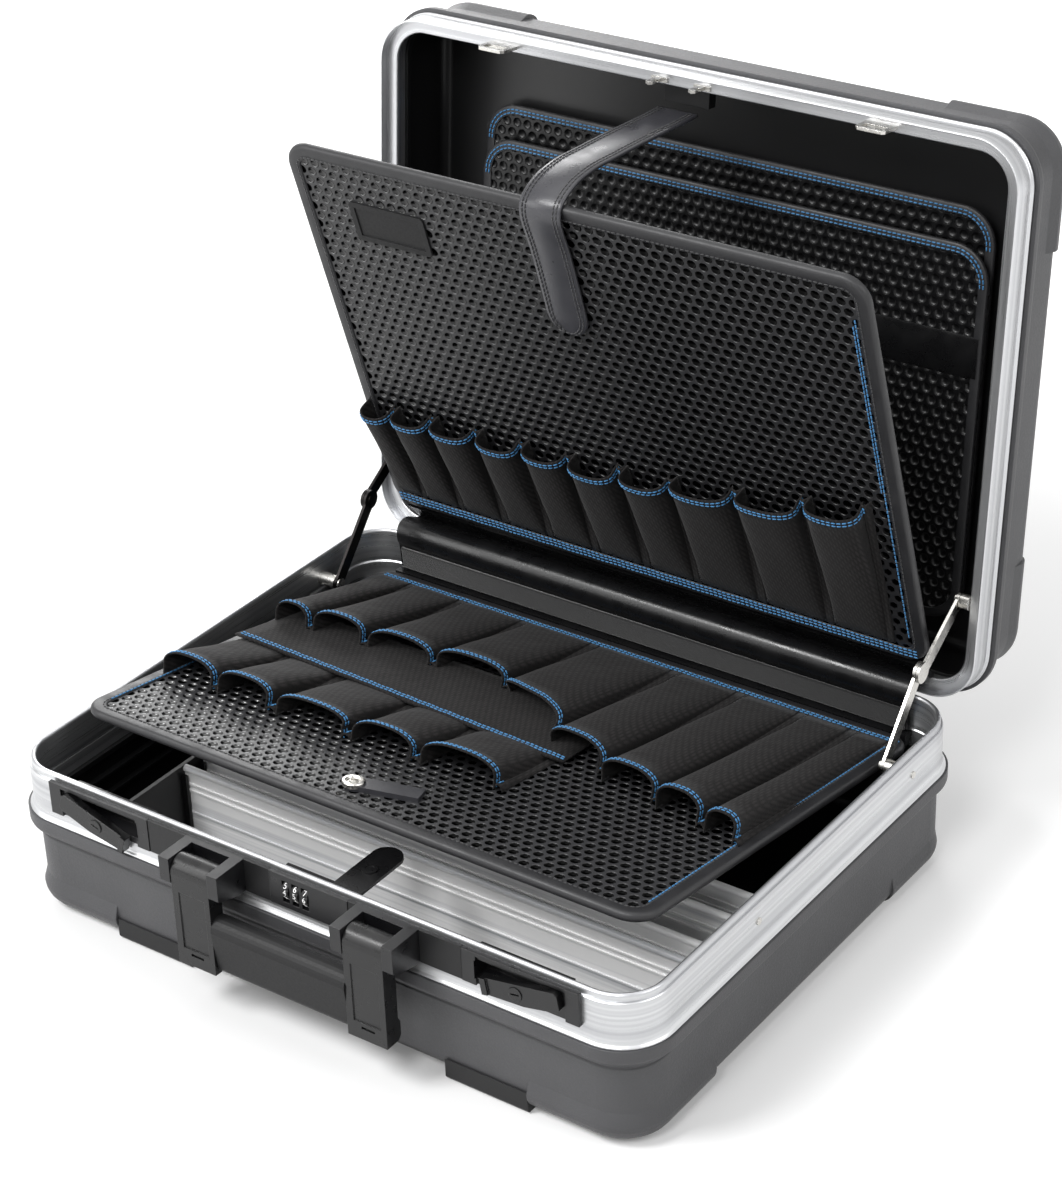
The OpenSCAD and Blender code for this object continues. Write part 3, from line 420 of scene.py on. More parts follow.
def joinPieces(name, pieces):
    mesh = bpy.data.meshes.new(name)
    work = bmesh.new()
    slots = []
    for piece in pieces:
        start = len(work.faces)
        work.from_mesh(piece.data)
        work.faces.ensure_lookup_table()
        local = list(piece.data.materials)
        for face in work.faces[start:]:
            material = local[min(face.material_index, len(local) - 1)]
            if material not in slots:
                slots.append(material)
            face.material_index = slots.index(material)
        bpy.data.objects.remove(piece)
    work.to_mesh(mesh)
    work.free()
    for material in slots:
        mesh.materials.append(material)
    return addObject(name, mesh)


def gridPiece(name, rows, material, outward=False, closeAround=False, caps=False):
    count = len(rows[0])
    points = [p for row in rows for p in row]
    faces = []
    for i in range(len(rows) - 1):
        for j in range(count if closeAround else count - 1):
            k = (j + 1) % count
            faces.append((i * count + j, i * count + k, (i + 1) * count + k, (i + 1) * count + j))
    if caps:
        faces += [tuple(range(count)), tuple(range(len(points) - count, len(points)))]
    return makePiece(name, points, faces, material, outward=outward)


def roundedLoop(halfX, y0, y1, radius, steps):
    # Points and outward directions round a rectangle with rounded corners
    loop = []
    for cx, cy, start in ((halfX - radius, y1 - radius, 0), (radius - halfX, y1 - radius, 90),
                          (radius - halfX, y0 + radius, 180), (halfX - radius, y0 + radius, 270)):
        for i in range(steps + 1):
            a = math.radians(start + 90 * i / steps)
            loop.append((cx + radius * math.cos(a), cy + radius * math.sin(a), math.cos(a), math.sin(a)))
    return loop


def nodeTree(name, sockets):
    # sockets gives the kind of each input besides the mesh and the material
    tree = bpy.data.node_groups.new(name, "GeometryNodeTree")
    for label, kind in {"Geometry": "Geometry", **sockets, "Material": "Material"}.items():
        tree.interface.new_socket(label, in_out="INPUT", socket_type="NodeSocket" + kind)
    tree.interface.new_socket("Geometry", in_out="OUTPUT", socket_type="NodeSocketGeometry")
    return tree, addNode(tree, "NodeGroupInput", out=None).outputs


def repeatOn(tree, source, what, places, weld=None):
    # Sets the object on each place as plain mesh, and welds what meets
    one = addNode(tree, "GeometryNodeObjectInfo", {"Object": source[what], "As Instance": True}, out="Geometry")
    solid = addNode(tree, "GeometryNodeInstanceOnPoints", {**places, "Instance": one})
    solid = addNode(tree, "GeometryNodeRealizeInstances", {"Geometry": solid})
    if weld is not None:
        solid = addNode(tree, "GeometryNodeMergeByDistance", {"Geometry": solid, "Distance": weld})
    solid = addNode(tree, "GeometryNodeSetShadeSmooth", {"Geometry": solid})
    solid = addNode(tree, "GeometryNodeSetMaterial", {"Geometry": solid, "Material": source["Material"]})
    addNode(tree, "NodeGroupOutput", {"Geometry": solid}, out=None)


def tilingTree():
    tree, source = nodeTree("dimpleTiling", {"Tile": "Object"})
    points = addNode(tree, "GeometryNodeMeshToPoints", {"Mesh": source["Geometry"]})
    repeatOn(tree, source, "Tile", {"Points": points}, weld=0.00002)
    return tree


def stitchTree():
    tree, source = nodeTree("stitchRun", {"Stitch": "Object", "Spacing": "Float"})
    curve = addNode(tree, "GeometryNodeMeshToCurve", {"Mesh": source["Geometry"]})
    curve = addNode(tree, "GeometryNodeResampleCurve", {"Curve": curve, "Length": source["Spacing"]}, mode="LENGTH")
    tangent = addNode(tree, "GeometryNodeInputTangent")
    turn = addNode(tree, "FunctionNodeAlignRotationToVector", {"Vector": tangent}, axis="X")
    repeatOn(tree, source, "Stitch", {"Points": curve, "Rotation": turn})
    return tree


def grow(name, tree, mesh, values):
    # Runs a tree on a mesh and keeps the result as a plain piece
    carrier = addObject(name, mesh)
    modifier = carrier.modifiers.new("grow", "NODES")
    modifier.node_group = tree
    for item in tree.interface.items_tree:
        if item.in_out == "INPUT" and item.name in values:
            modifier[item.identifier] = values[item.name]
    return settle(carrier)


def lineMesh(name, lines):
    points, edges = [], []
    for line in lines:
        start = len(points)
        points += line
        edges += [(start + i, start + i + 1) for i in range(len(line) - 1)]
    return meshOf(name, points, edges)


dimple = {"pitch": 8.5, "rim": 3.45, "depth": 1.6, "bowl": [(3.2, -0.5), (2.1, -1.3)]}
stitch = {"length": 2.9, "radius": 0.5, "spacing": 3.5}


def dimpleTile(name, steps):
    # One six-sided cell with a bowl in the middle; neighbours share its outline
    flat, corner = dimple["pitch"] / 2, dimple["pitch"] / math.sqrt(3)
    rings = [(None, 0.0), (dimple["rim"], 0.0)] + (dimple["bowl"] if steps == 12 else [])
    points, faces = [], []
    for radius, height in rings:
        for i in range(steps):
            a = math.radians(360 * i / steps + (30 if steps == 6 else 0))
            outline = corner if (steps == 6 or i % 2) else flat
            r = outline if radius is None else radius
            points.append(Vector((r * math.cos(a), r * math.sin(a), height)) * mm)
    for k in range(len(rings) - 1):
        for i in range(steps):
            j = (i + 1) % steps
            faces.append((k * steps + i, k * steps + j, (k + 1) * steps + j, (k + 1) * steps + i))
    points.append(Vector((0, 0, -dimple["depth"])) * mm)
    last = (len(rings) - 1) * steps
    faces += [(last + i, last + (i + 1) % steps, len(points) - 1) for i in range(steps)]
    return bpy.data.objects.new(name, meshOf(name, points, faces=faces))


def threadStitch():
    points, faces = [], []
    half, r = stitch["length"] / 2, stitch["radius"]
    rings = [(-half, r * 0.35), (-half + 0.45, r), (half - 0.45, r), (half, r * 0.35)]
    for x, radius in rings:
        for i in range(6):
            a = math.radians(60 * i)
            points.append(Vector((x, radius * math.cos(a), radius * math.sin(a))) * mm)
    for k in range(3):
        for i in range(6):
            j = (i + 1) % 6
            faces.append((k * 6 + j, k * 6 + i, (k + 1) * 6 + i, (k + 1) * 6 + j))
    faces += [(5, 4, 3, 2, 1, 0)[::-1], (18, 19, 20, 21, 22, 23)[::-1]]
    return bpy.data.objects.new("threadStitch", meshOf("threadStitch", points, faces=faces))


tiling, sewing = tilingTree(), stitchTree()
fineTile, plainTile, oneStitch = dimpleTile("fineTile", 12), dimpleTile("plainTile", 6), threadStitch()


def sewLines(name, lines, key="blueThread", spacing=None):
    return grow(name, sewing, lineMesh(name, lines), {"Stitch": oneStitch, "Material": finish[key],
                "Spacing": (spacing or stitch["spacing"]) * mm})


def insideOutline(x, y, halfX, y0, y1, radius):
    # Distance in from a rounded rectangle, negative outside
    cx, cy = halfX - radius, (y1 - y0) / 2 - radius
    qx, qy = abs(x) - cx, abs(y - (y0 + y1) / 2) - cy
    return radius - math.hypot(max(qx, 0), max(qy, 0)) - min(max(qx, qy), 0)


def dimpledSheet(name, halfX, y0, y1, radius, margin, choose, toWorld, height, turnOver=False, key="board"):
    # Cells on a staggered grid, then moved from the flat to their place. choose gives each place its tile.
    spots, row = {}, 0
    y = y0 + 2
    while y < y1:
        x = -halfX + (row % 2) * dimple["pitch"] / 2
        while x < halfX:
            if insideOutline(x, y, halfX, y0, y1, radius) > margin:
                spots.setdefault(choose(x, y), []).append((x * mm, y * mm, 0))
            x += dimple["pitch"]
        y += dimple["pitch"] * math.sqrt(3) / 2
        row += 1
    sheet = joinPieces(name, [grow(name, tiling, meshOf(name, places), {"Tile": tile, "Material": finish[key]})
                              for tile, places in spots.items()])
    side = -1 if turnOver else 1
    for vertex in sheet.data.vertices:
        x, along, h = (c / mm for c in vertex.co)
        vertex.co = toWorld(x, along, height * side + h * side)
    return sheet


def faceTowards(piece, direction):
    # Turns a whole sheet's faces so that they look along direction on average
    total = Vector()
    for face in piece.data.polygons:
        total += face.normal * face.area
    if total.dot(Vector(direction)) < 0:
        piece.data.flip_normals()
    return piece


def dressBoard(side, length, toWorld, covered):
    # covered says where pockets hide the face, so that plain dimples do
    name, body, halfX = side + "Board", side + "_board_body", boardSize["width"] / 2
    sheets = []
    for part, turnOver, key in (("Face", False, side + "Face"), ("Back", True, "board")):
        sheet = dimpledSheet(name + part, halfX - 2, 2, length - 2, boardSize["radius"] - 2, 3.6,
                             lambda x, y: plainTile if turnOver or covered(x, y) else fineTile, toWorld,
                             boardSize["face"], turnOver, key)
        sheets.append(faceTowards(sheet, boardNormal(toWorld) * (-1 if turnOver else 1)))
    sheets = joinPieces(name + "Sheets", sheets)
    sheets.data.shade_smooth()
    sheets.data.set_sharp_from_angle(angle=math.radians(32))
    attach(sheets, body)
    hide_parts(side + "_board")
    w, h = boardSize["tapeWidth"], boardSize["tapeHeight"]
    profile = [(w, h - 1.0), (w - 0.4, h - 0.35), (w - 1.2, h), (2.4, h), (1.0, h - 0.5), (0.2, h - 1.6), (0, 0),
               (0.2, 1.6 - h), (1.0, 0.5 - h), (2.4, -h), (w - 1.2, -h), (w - 0.4, 0.35 - h), (w, 1.0 - h)]
    loop = roundedLoop(halfX, 0, length, boardSize["radius"], 12)
    loop += loop[:1]
    tape = gridPiece(name + "Tape", [[toWorld(x - nx * d, y - ny * d, z) for d, z in profile]
                                     for x, y, nx, ny in loop], finish["tape"])
    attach(tape, body)
    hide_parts(side + "_binding")
    inset = w - 2.2
    seams = [[toWorld(x - nx * inset, y - ny * inset, z) for x, y, nx, ny in loop] for z in (h, -h)]
    sewn = sewLines(name + "TapeStitches", seams, "blackThread")
    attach(sewn, body)


dressBoard("lower", lowerBoard["length"], lowerPoint, lambda x, y: y < (228 if x < 50 else 100))
dressBoard("upper", upperBoard["length"], upperPoint, lambda x, y: y < 92)
print("boards dressed")


pocketShape = {"across": 24, "along": 12, "hem": 7, "hemThickness": 0.5, "fabric": 1.1, "foot": 0.7,
               "round": 5 / 6, "strip": 7.5, "ear": 4.2, "sunk": 0.6, "seamGap": 0.4, "stitchRows": (2.0, 4.6)}


def sway(seed):
    # Fixed spread from -1 to 1
    value = math.sin(seed * 12.9898 + 4.1) * 43758.5453
    return 2 * (value - math.floor(value)) - 1


def pocketPoint(pocket, u, v):
    # u runs from seam to seam, v from the sewn end to the mouth: first the round part, then a flat seam strip
    left, right, near, mouthLeft, mouthRight, height, seed = pocket
    opening = v ** 0.85
    along = near + (mouthLeft + (mouthRight - mouthLeft) * u - near) * v
    turn = right - min(pocketShape["strip"] * (1 + 0.25 * sway(seed + 5)), 0.2 * (right - left))
    if u > pocketShape["round"]:
        share = (u - pocketShape["round"]) / (1 - pocketShape["round"])
        rise = pocketShape["foot"] + pocketShape["ear"] * v ** 3 * math.sin(math.pi * share) ** 0.8
        return turn + (right - turn) * share, along, rise + boardSize["face"] - pocketShape["sunk"]
    angle = math.pi * u / pocketShape["round"]
    lean = (0.06 + 0.10 * sway(seed)) * math.sin(angle)
    side = -math.copysign(abs(math.cos(angle)) ** 0.66, math.cos(angle))
    wide = (turn - left) / 2
    x = (left + turn) / 2 + wide * (side * (1 + 0.14 * opening * math.sin(2 * angle) ** 2) + lean * opening)
    crown = abs(math.sin(angle)) ** (0.72 + 0.15 * sway(seed + 3))
    rise = pocketShape["foot"] + (height * (1 + 0.08 * sway(seed + 7)) - pocketShape["foot"]) * opening * crown
    rise += 0.6 * math.sin(v * 9 + seed) * math.sin(angle) * opening
    return x, along, rise + boardSize["face"] - pocketShape["sunk"]


def pocketNormal(pocket, u, v):
    step = 0.02
    a, b, c, d = (Vector(pocketPoint(pocket, *spot)) for spot in (
        (min(u + step, 1), v), (max(u - step, 0), v), (u, min(v + step, 1)), (u, v - step if v > step else 0)))
    normal = (a - b).cross(c - d)
    if normal.length < 1e-9:
        return Vector((0, 0, 1))
    normal.normalize()
    return normal if normal.z >= 0 or abs(normal.z) < 0.2 else -normal


def sewPockets(name, row, toWorld, body, extra):
    sheets, lines = [], []
    seams, gap, near = row["seams"], pocketShape["seamGap"], row["near"]
    across, along = pocketShape["across"], pocketShape["along"]
    pockets = [(seams[i] + gap, seams[i + 1] - gap, near, *mouth, row["height"], row["seed"] + i)
               for i, mouth in enumerate(row["mouths"])]
    for pocket in pockets:
        depth = (pocket[3] + pocket[4]) / 2 - near
        hemStart = 1 - pocketShape["hem"] / depth
        steps = [i / along * hemStart for i in range(along + 1)] + [hemStart + 0.004] + \
                [hemStart + (1 - hemStart) * i / 3 for i in (1, 2, 3)]
        rows = []
        for i, v in enumerate(steps):
            lift = pocketShape["hemThickness"] if i > along else 0
            line = []
            for j in range(across + 1):
                u = j / across
                normal = pocketNormal(pocket, min(max(u, 0.03), 0.97), max(v, 0.05))
                line.append(toWorld(*(Vector(pocketPoint(pocket, u, v)) + normal * lift)))
            rows.append(line)
        sheet = gridPiece(name + "Sheet", rows, finish["fabric"])
        faceTowards(sheet, boardNormal(toWorld))
        sheets.append(thicken(sheet, pocketShape["fabric"]))
        lift = pocketShape["hemThickness"] + pocketShape["fabric"] / 2 + 0.15
        for inset in pocketShape["stitchRows"]:
            spots = [(j / across, 1 - inset / depth) for j in range(2, across - 1)]
            lines.append([toWorld(*(Vector(pocketPoint(pocket, *spot)) + pocketNormal(pocket, *spot) * lift))
                          for spot in spots])
    seamLines = [[toWorld(pocket[0], near + 4 + (pocket[3] - near - 6) * i / 8, boardSize["face"] + 1.2)
                  for i in range(9)] for pocket in pockets[1:]]
    fabric = joinPieces(name, sheets + extra)
    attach(fabric, body)
    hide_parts(row["node"])
    threads = [sewLines(name + "BlueStitches", lines), sewLines(name + "SeamStitches", seamLines, "blackThread")]
    for thread in threads:
        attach(thread, body)
    return [fabric] + threads


# seams run across the board; near is the sewn end, and mouths holds each pocket's left and right end, measured
# from the hinge. flat and area say what a row was cut from: its strip's length before it was gathered, its depth
pocketRows = {
    "frontPockets": {"board": "lower", "node": "front_pockets", "near": 166, "height": 19, "seed": 1,
                     "seams": [-208, -162, -113, -53, 0, 60],
                     "mouths": [(247, 247), (247, 247), (247, 246), (246, 244), (244, 240)],
                     "flat": (0.342, 0.156), "area": 0.0524},
    "backPocketsLeft": {"board": "lower", "node": "back_pockets_left", "near": 10, "height": 19, "seed": 11,
                        "seams": [-208, -178, -134, -80, -21],
                        "mouths": [(133, 130), (130, 126), (126, 121), (121, 118)],
                        "flat": (0.245, 0.123), "area": 0.0285},
    "backPocketsRight": {"board": "lower", "node": "back_pockets_right", "near": 10, "height": 19, "seed": 21,
                         "seams": [-21, 45, 97, 143, 182, 208],
                         "mouths": [(118, 166), (166, 182), (186, 193), (196, 202), (203, 206)],
                         "flat": (0.320, 0.196), "area": 0.0506},
    "upperPocketsLeft": {"board": "upper", "node": "upper_pockets_left", "near": 13, "height": 17, "seed": 31,
                         "seams": [-210, -183, -150, -112, -74, -36],
                         "mouths": [(99, 100), (100, 101), (101, 102), (102, 103), (103, 104)],
                         "flat": (0.251, 0.091), "area": 0.0221},
    "upperPocketsRight": {"board": "upper", "node": "upper_pockets_right", "near": 13, "height": 18, "seed": 41,
                          "seams": [-36, 6, 45, 97, 148, 192],
                          "mouths": [(104, 107), (107, 110), (110, 118), (118, 128), (128, 138)],
                          "flat": (0.292, 0.125), "area": 0.0315},
}


def flatPanel(name, corners, material, thickness, cells):
    # Four corners as (x, along, height), from the sewn side to the free edge
    grid = []
    for i in range(cells[1] + 1):
        v = i / cells[1]
        line = []
        for j in range(cells[0] + 1):
            u = j / cells[0]
            p = Vector(corners[0]).lerp(Vector(corners[1]), u)
            p = p.lerp(Vector(corners[3]).lerp(Vector(corners[2]), u), v)
            p.z += 0.5 * math.sin(u * 21) * v * math.sin(math.pi * u)
            line.append(lowerPoint(*p))
        grid.append(line)
    sheet = gridPiece(name, grid, material)
    faceTowards(sheet, boardNormal(lowerPoint))
    return thicken(sheet, thickness)


# Panel that covers the sewn ends of the front row, with a doubled free edge
frontPanel = [flatPanel("panel", [(-209, 100, 3.2), (60, 100, 3.2), (68, 188, 6.6), (-210, 173, 6.6)],
                        finish["fabric"], 1.1, (24, 10)),
              flatPanel("panelHem", [(-209.5, 166.5, 6.9), (66, 181.5, 6.9), (68, 188.4, 7.2), (-210, 173.4, 7.2)],
                        finish["fabric"], 1.2, (24, 2))]
for name, row in pocketRows.items():
    board, toWorld = row["board"] + "_board", {"lower": lowerPoint, "upper": upperPoint}[row["board"]]
    group = sewPockets(name, row, toWorld, board + "_body", frontPanel if name == "frontPockets" else [])
    for piece in group:
        tuple(boardNormal(toWorld))
        tuple(toWorld(0, 100, boardSize["face"]))
        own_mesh(piece)


def edgeStitches(name, toWorld, body, seams):
    # Each seam runs from (x, along) to (x, along) at one height, and wavers as sewn seams do
    steps, waver = 60, 0.25
    lines = [[toWorld(x0 + (x1 - x0) * i / steps, y0 + (y1 - y0) * i / steps + waver * math.sin(i * 1.7), height)
              for i in range(steps + 1)] for x0, y0, x1, y1, height in seams]
    sewn = sewLines(name, lines)
    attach(sewn, body)


edgeStitches("lowerEdgeStitches", lowerPoint, "lower_board_body", [
    (-206, 10.5, 208, 10.5, 3.7), (-206, 13.2, 208, 13.2, 3.7), (-206, 170.6, 66, 185.2, 8.0),
    (-206, 168.0, 65, 182.6, 8.0), (-205.6, 24, -205.6, 298, 3.4), (205.6, 24, 205.6, 298, 3.4)])
edgeStitches("upperEdgeStitches", upperPoint, "upper_board_body", [
    (-208, 11, 206, 11, 3.7), (-208, 8.4, 206, 8.4, 3.7), (-208, 5.6, 206, 5.6, 3.7),
    (203.4, 24, 203.4, 286, 3.4), (201.2, 150, 201.2, 280, 3.0)])
print("pockets sewn")


# end is how far a sheet reaches from the hinge, depth its place on the shut lid, gusset what lies behind it
documents = {"rear": {"x": 4, "halfX": 196, "end": 315, "depth": 163, "sewnFrom": 250, "gusset": 8.0},
             "front": {"x": 7, "halfX": 195, "end": 293, "depth": 154, "sewnFrom": 230, "gusset": 7.0}}


def sheetPlace(size):
    return lambda x, along, height: lidPoint(x + size["x"], case["hinge"][0] - along, size["depth"] + 1 - height)


def documentPocket(key, size):
    # Dimpled sheet with a bound edge and a fabric back, and side gussets down to the lid
    onSheet, end = sheetPlace(size), size["end"]
    face = dimpledSheet(key + "DocumentFace", size["halfX"], 36, end, 24, 3.0,
                        lambda x, y: fineTile if y > end - 45 or x > 60 else plainTile, onSheet, 1.0)
    faceTowards(face, boardNormal(onSheet))
    face.data.shade_smooth()
    loop = roundedLoop(size["halfX"], 34, end, 25, 10)
    profile = [(7, 0.6), (6.6, 1.5), (1.4, 1.6), (0.4, 1.0), (0, 0), (0.4, -0.9), (1.4, -1.3), (9.5, -1.1)]
    tapeRows = [[onSheet(x - nx * d, y - ny * d, z) for d, z in profile] for x, y, nx, ny in loop + loop[:1]]
    backRows = [[onSheet(x, y, -0.9) for x, y, nx, ny in loop], [onSheet(0, 160, -0.9)] * len(loop)]
    parts = [face, gridPiece(key + "DocumentTape", tapeRows, finish["tape"], outward=True),
             gridPiece(key + "DocumentBack", backRows, finish["fabric"], closeAround=True)]
    for side in (-1, 1):
        x = side * (size["halfX"] - 16)
        gusset = [[onSheet(x + side * 2 * math.sin(i * 1.1), along, -1 - i * size["gusset"] / 4)
                   for along in (48, 120, 200, end - 14)] for i in range(5)]
        parts.append(thicken(gridPiece("gusset", gusset, finish["fabric"]), 0.8))
    lines = [[onSheet(x - nx * inset, y - ny * inset, 1.9) for x, y, nx, ny in loop if y > size["sewnFrom"]]
             for inset in (3.0, 5.4)]
    return parts, lines


documentParts, documentLines = [], []
for key, size in documents.items():
    parts, lines = documentPocket(key, size)
    documentParts += parts
    documentLines += lines
onFront = sheetPlace(documents["front"])
bandGrid = [[onFront(-192 + 384 * i / 24, y, z) for i in range(25)]
            for y, z in ((206, 1.4), (208, 2.1), (220, 2.3), (232, 2.1), (234, 1.4))]
band = gridPiece("documentBand", bandGrid, finish["vinyl"])
faceTowards(band, boardNormal(onFront))
documentParts.append(band)
documentPockets = joinPieces("documentPocketSheets", documentParts)
documentPockets.data.set_sharp_from_angle(angle=math.radians(40))
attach(documentPockets, "lid")
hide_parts("document_pockets")
documentStitches = sewLines("documentStitches", documentLines)
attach(documentStitches, "lid")
print("document pockets sewn")


def smoothPath(points, steps):
    # Catmull-Rom through the points
    path = []
    padded = [points[0]] + list(points) + [points[-1]]
    for i in range(1, len(padded) - 2):
        p0, p1, p2, p3 = (Vector(p) for p in padded[i - 1:i + 3])
        for k in range(steps):
            t = k / steps
            path.append(0.5 * (2 * p1 + (p2 - p0) * t + (2 * p0 - 5 * p1 + 4 * p2 - p3) * t * t
                               + (3 * p1 - p0 - 3 * p2 + p3) * t ** 3))
    path.append(Vector(points[-1]))
    return path


def bandAlong(name, path, halfWidth, thickness, material, x=0, roundEnd=False):
    # Flat band whose path is (y, z) pairs in millimetres
    lengths = [0]
    for a, b in zip(path, path[1:]):
        lengths.append(lengths[-1] + (b - a).length)
    rows = []
    for i, p in enumerate(path):
        along = (path[min(i + 1, len(path) - 1)] - path[max(i - 1, 0)]).normalized()
        normal = Vector((-along.y, along.x))
        w, h, toGo = halfWidth, thickness / 2, lengths[-1] - lengths[i]
        if roundEnd and toGo < w:
            w = math.sqrt(max(w * w - (w - toGo) ** 2, 0.3))
        section = [(-w, 0), (-w + 0.25, h * 0.75), (-w + 0.9, h), (-w * 0.5, h), (0, h), (w * 0.5, h), (w - 0.9, h),
                   (w - 0.25, h * 0.75), (w, 0), (w - 0.25, -h * 0.75), (w - 0.9, -h), (0, -h), (-w + 0.9, -h),
                   (-w + 0.25, -h * 0.75)]
        if w < 1.5:   # the tip, narrower than the section's own roundings
            section = [(sx * w / 1.6 / max(w, 1), sz) for sx, sz in section]
        rows.append([Vector((x + sx, p.x + normal.x * sz, p.y + normal.y * sz)) * mm for sx, sz in section])
    return gridPiece(name, rows, material, outward=True, closeAround=True, caps=True)


def onUpper(along, height):
    p = upperPoint(0, along, height) / mm
    return (p.y, p.z)


strapShape = {"x": -11, "halfWidth": 15.3, "thickness": 2.6, "seams": (2.6, 5.0), "spacing": 3.4}
strapPath = smoothPath([(247, 443.6), (228, 444.0), (199, 445.5), (177, 446.4), (155, 447), (133, 447.6),
                        (116, 445.8), onUpper(322.6, -11), onUpper(321.2, -3), onUpper(317.8, 3.2),
                        onUpper(311.5, 6.2), onUpper(302, 6.4), onUpper(285, 5.0), onUpper(260, 4.5),
                        onUpper(238, 4.5), onUpper(216, 4.5)], 7)
strapToGo = [sum((b - a).length for a, b in zip(strapPath[i:], strapPath[i + 1:])) for i in range(len(strapPath))]


def strapPlace(i, side, height):
    # On the strap at one point of its path: side across, height off its middle
    along = (strapPath[min(i + 1, len(strapPath) - 1)] - strapPath[max(i - 1, 0)]).normalized()
    p = strapPath[i] + Vector((-along.y, along.x)) * height
    return Vector((strapShape["x"] + side, p.x, p.y)) * mm


def strapSeam(inset):
    # Down one edge, round the free end and back up the other
    edges = {1: [], -1: []}
    for i in range(2, len(strapPath)):
        w, toGo = strapShape["halfWidth"], strapToGo[i]
        if toGo < w:
            w = math.sqrt(w * w - (w - toGo) ** 2)
        if toGo > 1.2 and w > inset:
            for side, edge in edges.items():
                edge.append(strapPlace(i, side * (w - inset), -strapShape["thickness"] / 2 - 0.1))
    return edges[1] + edges[-1][::-1]


strap = bandAlong("leatherStrap", strapPath, strapShape["halfWidth"], strapShape["thickness"], finish["strap"],
                  strapShape["x"], roundEnd=True)
strapStitches = sewLines("strapStitches", [strapSeam(inset) for inset in strapShape["seams"]], "blackThread",
                         strapShape["spacing"])
for piece in (strap, strapStitches):
    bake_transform(piece)
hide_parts("strap")


# profile holds (radius, height above the base) pairs from the outer edge to the middle
stud = {"x": -13, "along": 294, "base": 6.4, "steps": 32,
        "profile": [(7.4, -2.5), (7.4, 0), (6.9, 0.7), (5.4, 0.8), (4.9, 0.3), (4.6, -0.5), (2.9, -0.5),
                    (2.6, 0.5), (1.9, 0.7), (1.6, -0.8), (0.02, -0.9)]}
studTurns = [2 * math.pi * i / stud["steps"] for i in range(stud["steps"])]
studRows = [[lowerPoint(stud["x"] + r * math.cos(a), stud["along"] + r * math.sin(a), stud["base"] + height)
             for a in studTurns] for r, height in stud["profile"]]
studRing = gridPiece("pressStud", studRows, finish["steel"], closeAround=True)
faceTowards(studRing, boardNormal(lowerPoint))
studRing.data.set_sharp_from_angle(angle=math.radians(35))
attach(studRing, "lower_board_body")


# The vinyl rolls over the hinge from the base to the lid, and the fastener's loops are sewn on its lower run
hingeCover = {"halfWidth": 207, "thickness": 1.6,
              "path": [(180.2, 84.5), (179.4, 92), (178.6, 102), (176.8, 107), (176.4, 113), (179.5, 118.6),
                       (186, 120.2), (193, 117.5), (199, 114.5), (206.5, 112.8)]}
fastener = {"halfWidth": 204, "thickness": 1.6, "path": [(178.4, 85), (177.6, 93), (176.9, 101.5)]}
cover = bandAlong("hingeCoverVinyl", smoothPath(hingeCover["path"], 5), hingeCover["halfWidth"],
                  hingeCover["thickness"], finish["vinyl"])
loopBand = bandAlong("fastenerBand", smoothPath(fastener["path"], 5), fastener["halfWidth"],
                     fastener["thickness"], finish["loop"])
for piece in (cover, loopBand):
    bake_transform(piece)
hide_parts("hinge_cover")
print("strap and hinge cover made")


wheel = {"first": -10.5, "pitch": 7.4, "axis": (-184, 95.5), "radius": 7.24, "digit": 5.4, "relief": 0.06}


def wheelDigits(index):
    # The digits stand 36 degrees apart, and the wheels show 4, 5 and 6 in front
    parts = []
    place = Matrix.Translation(Vector((wheel["first"] + index * wheel["pitch"], *wheel["axis"])) * mm)
    outward = Matrix.Translation((0, -wheel["radius"] * mm, 0)) @ Matrix.Rotation(math.radians(90), 4, "X")
    for digit in range(10):
        curve = bpy.data.curves.new("digit", "FONT")
        curve.body = str(digit)
        curve.size = wheel["digit"] * mm
        curve.align_x = "CENTER"
        curve.align_y = "CENTER"
        curve.extrude = wheel["relief"] * mm
        text = addObject("digit", curve)
        mesh = bpy.data.meshes.new_from_object(text.evaluated_get(bpy.context.evaluated_depsgraph_get()))
        bpy.data.objects.remove(text)
        mesh.transform(place @ Matrix.Rotation(math.radians(-36 * (digit - 4 - index)), 4, "X") @ outward)
        mesh.materials.clear()
        mesh.materials.append(finish["digit"])
        parts.append(addObject("digitPart", mesh))
    digits = joinPieces("wheelDigits%d" % (index + 1), parts)
    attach(digits, ("dial_left", "dial_middle", "dial_right")[index])


for index in range(3):
    wheelDigits(index)
print("number wheels marked")


def seenDirectly(tree):
    # 1 for what is seen straight, mirrored or through something, 0 where it lights other things
    rays = addNode(tree, "ShaderNodeLightPath", out=None).outputs
    seen = addNode(tree, "ShaderNodeMath", {0: rays["Is Camera Ray"], 1: rays["Is Glossy Ray"]}, operation="ADD")
    return addNode(tree, "ShaderNodeMath", {0: seen, 1: rays["Is Transmission Ray"]}, operation="ADD")


# The floor's own glow grows from the case's front outwards, as the light on it falls off. near and far are metres
floorGlow = {"middle": (-0.1, -0.4, 0), "near": 0.1, "far": 2.6, "least": 0.02, "most": 1.0}


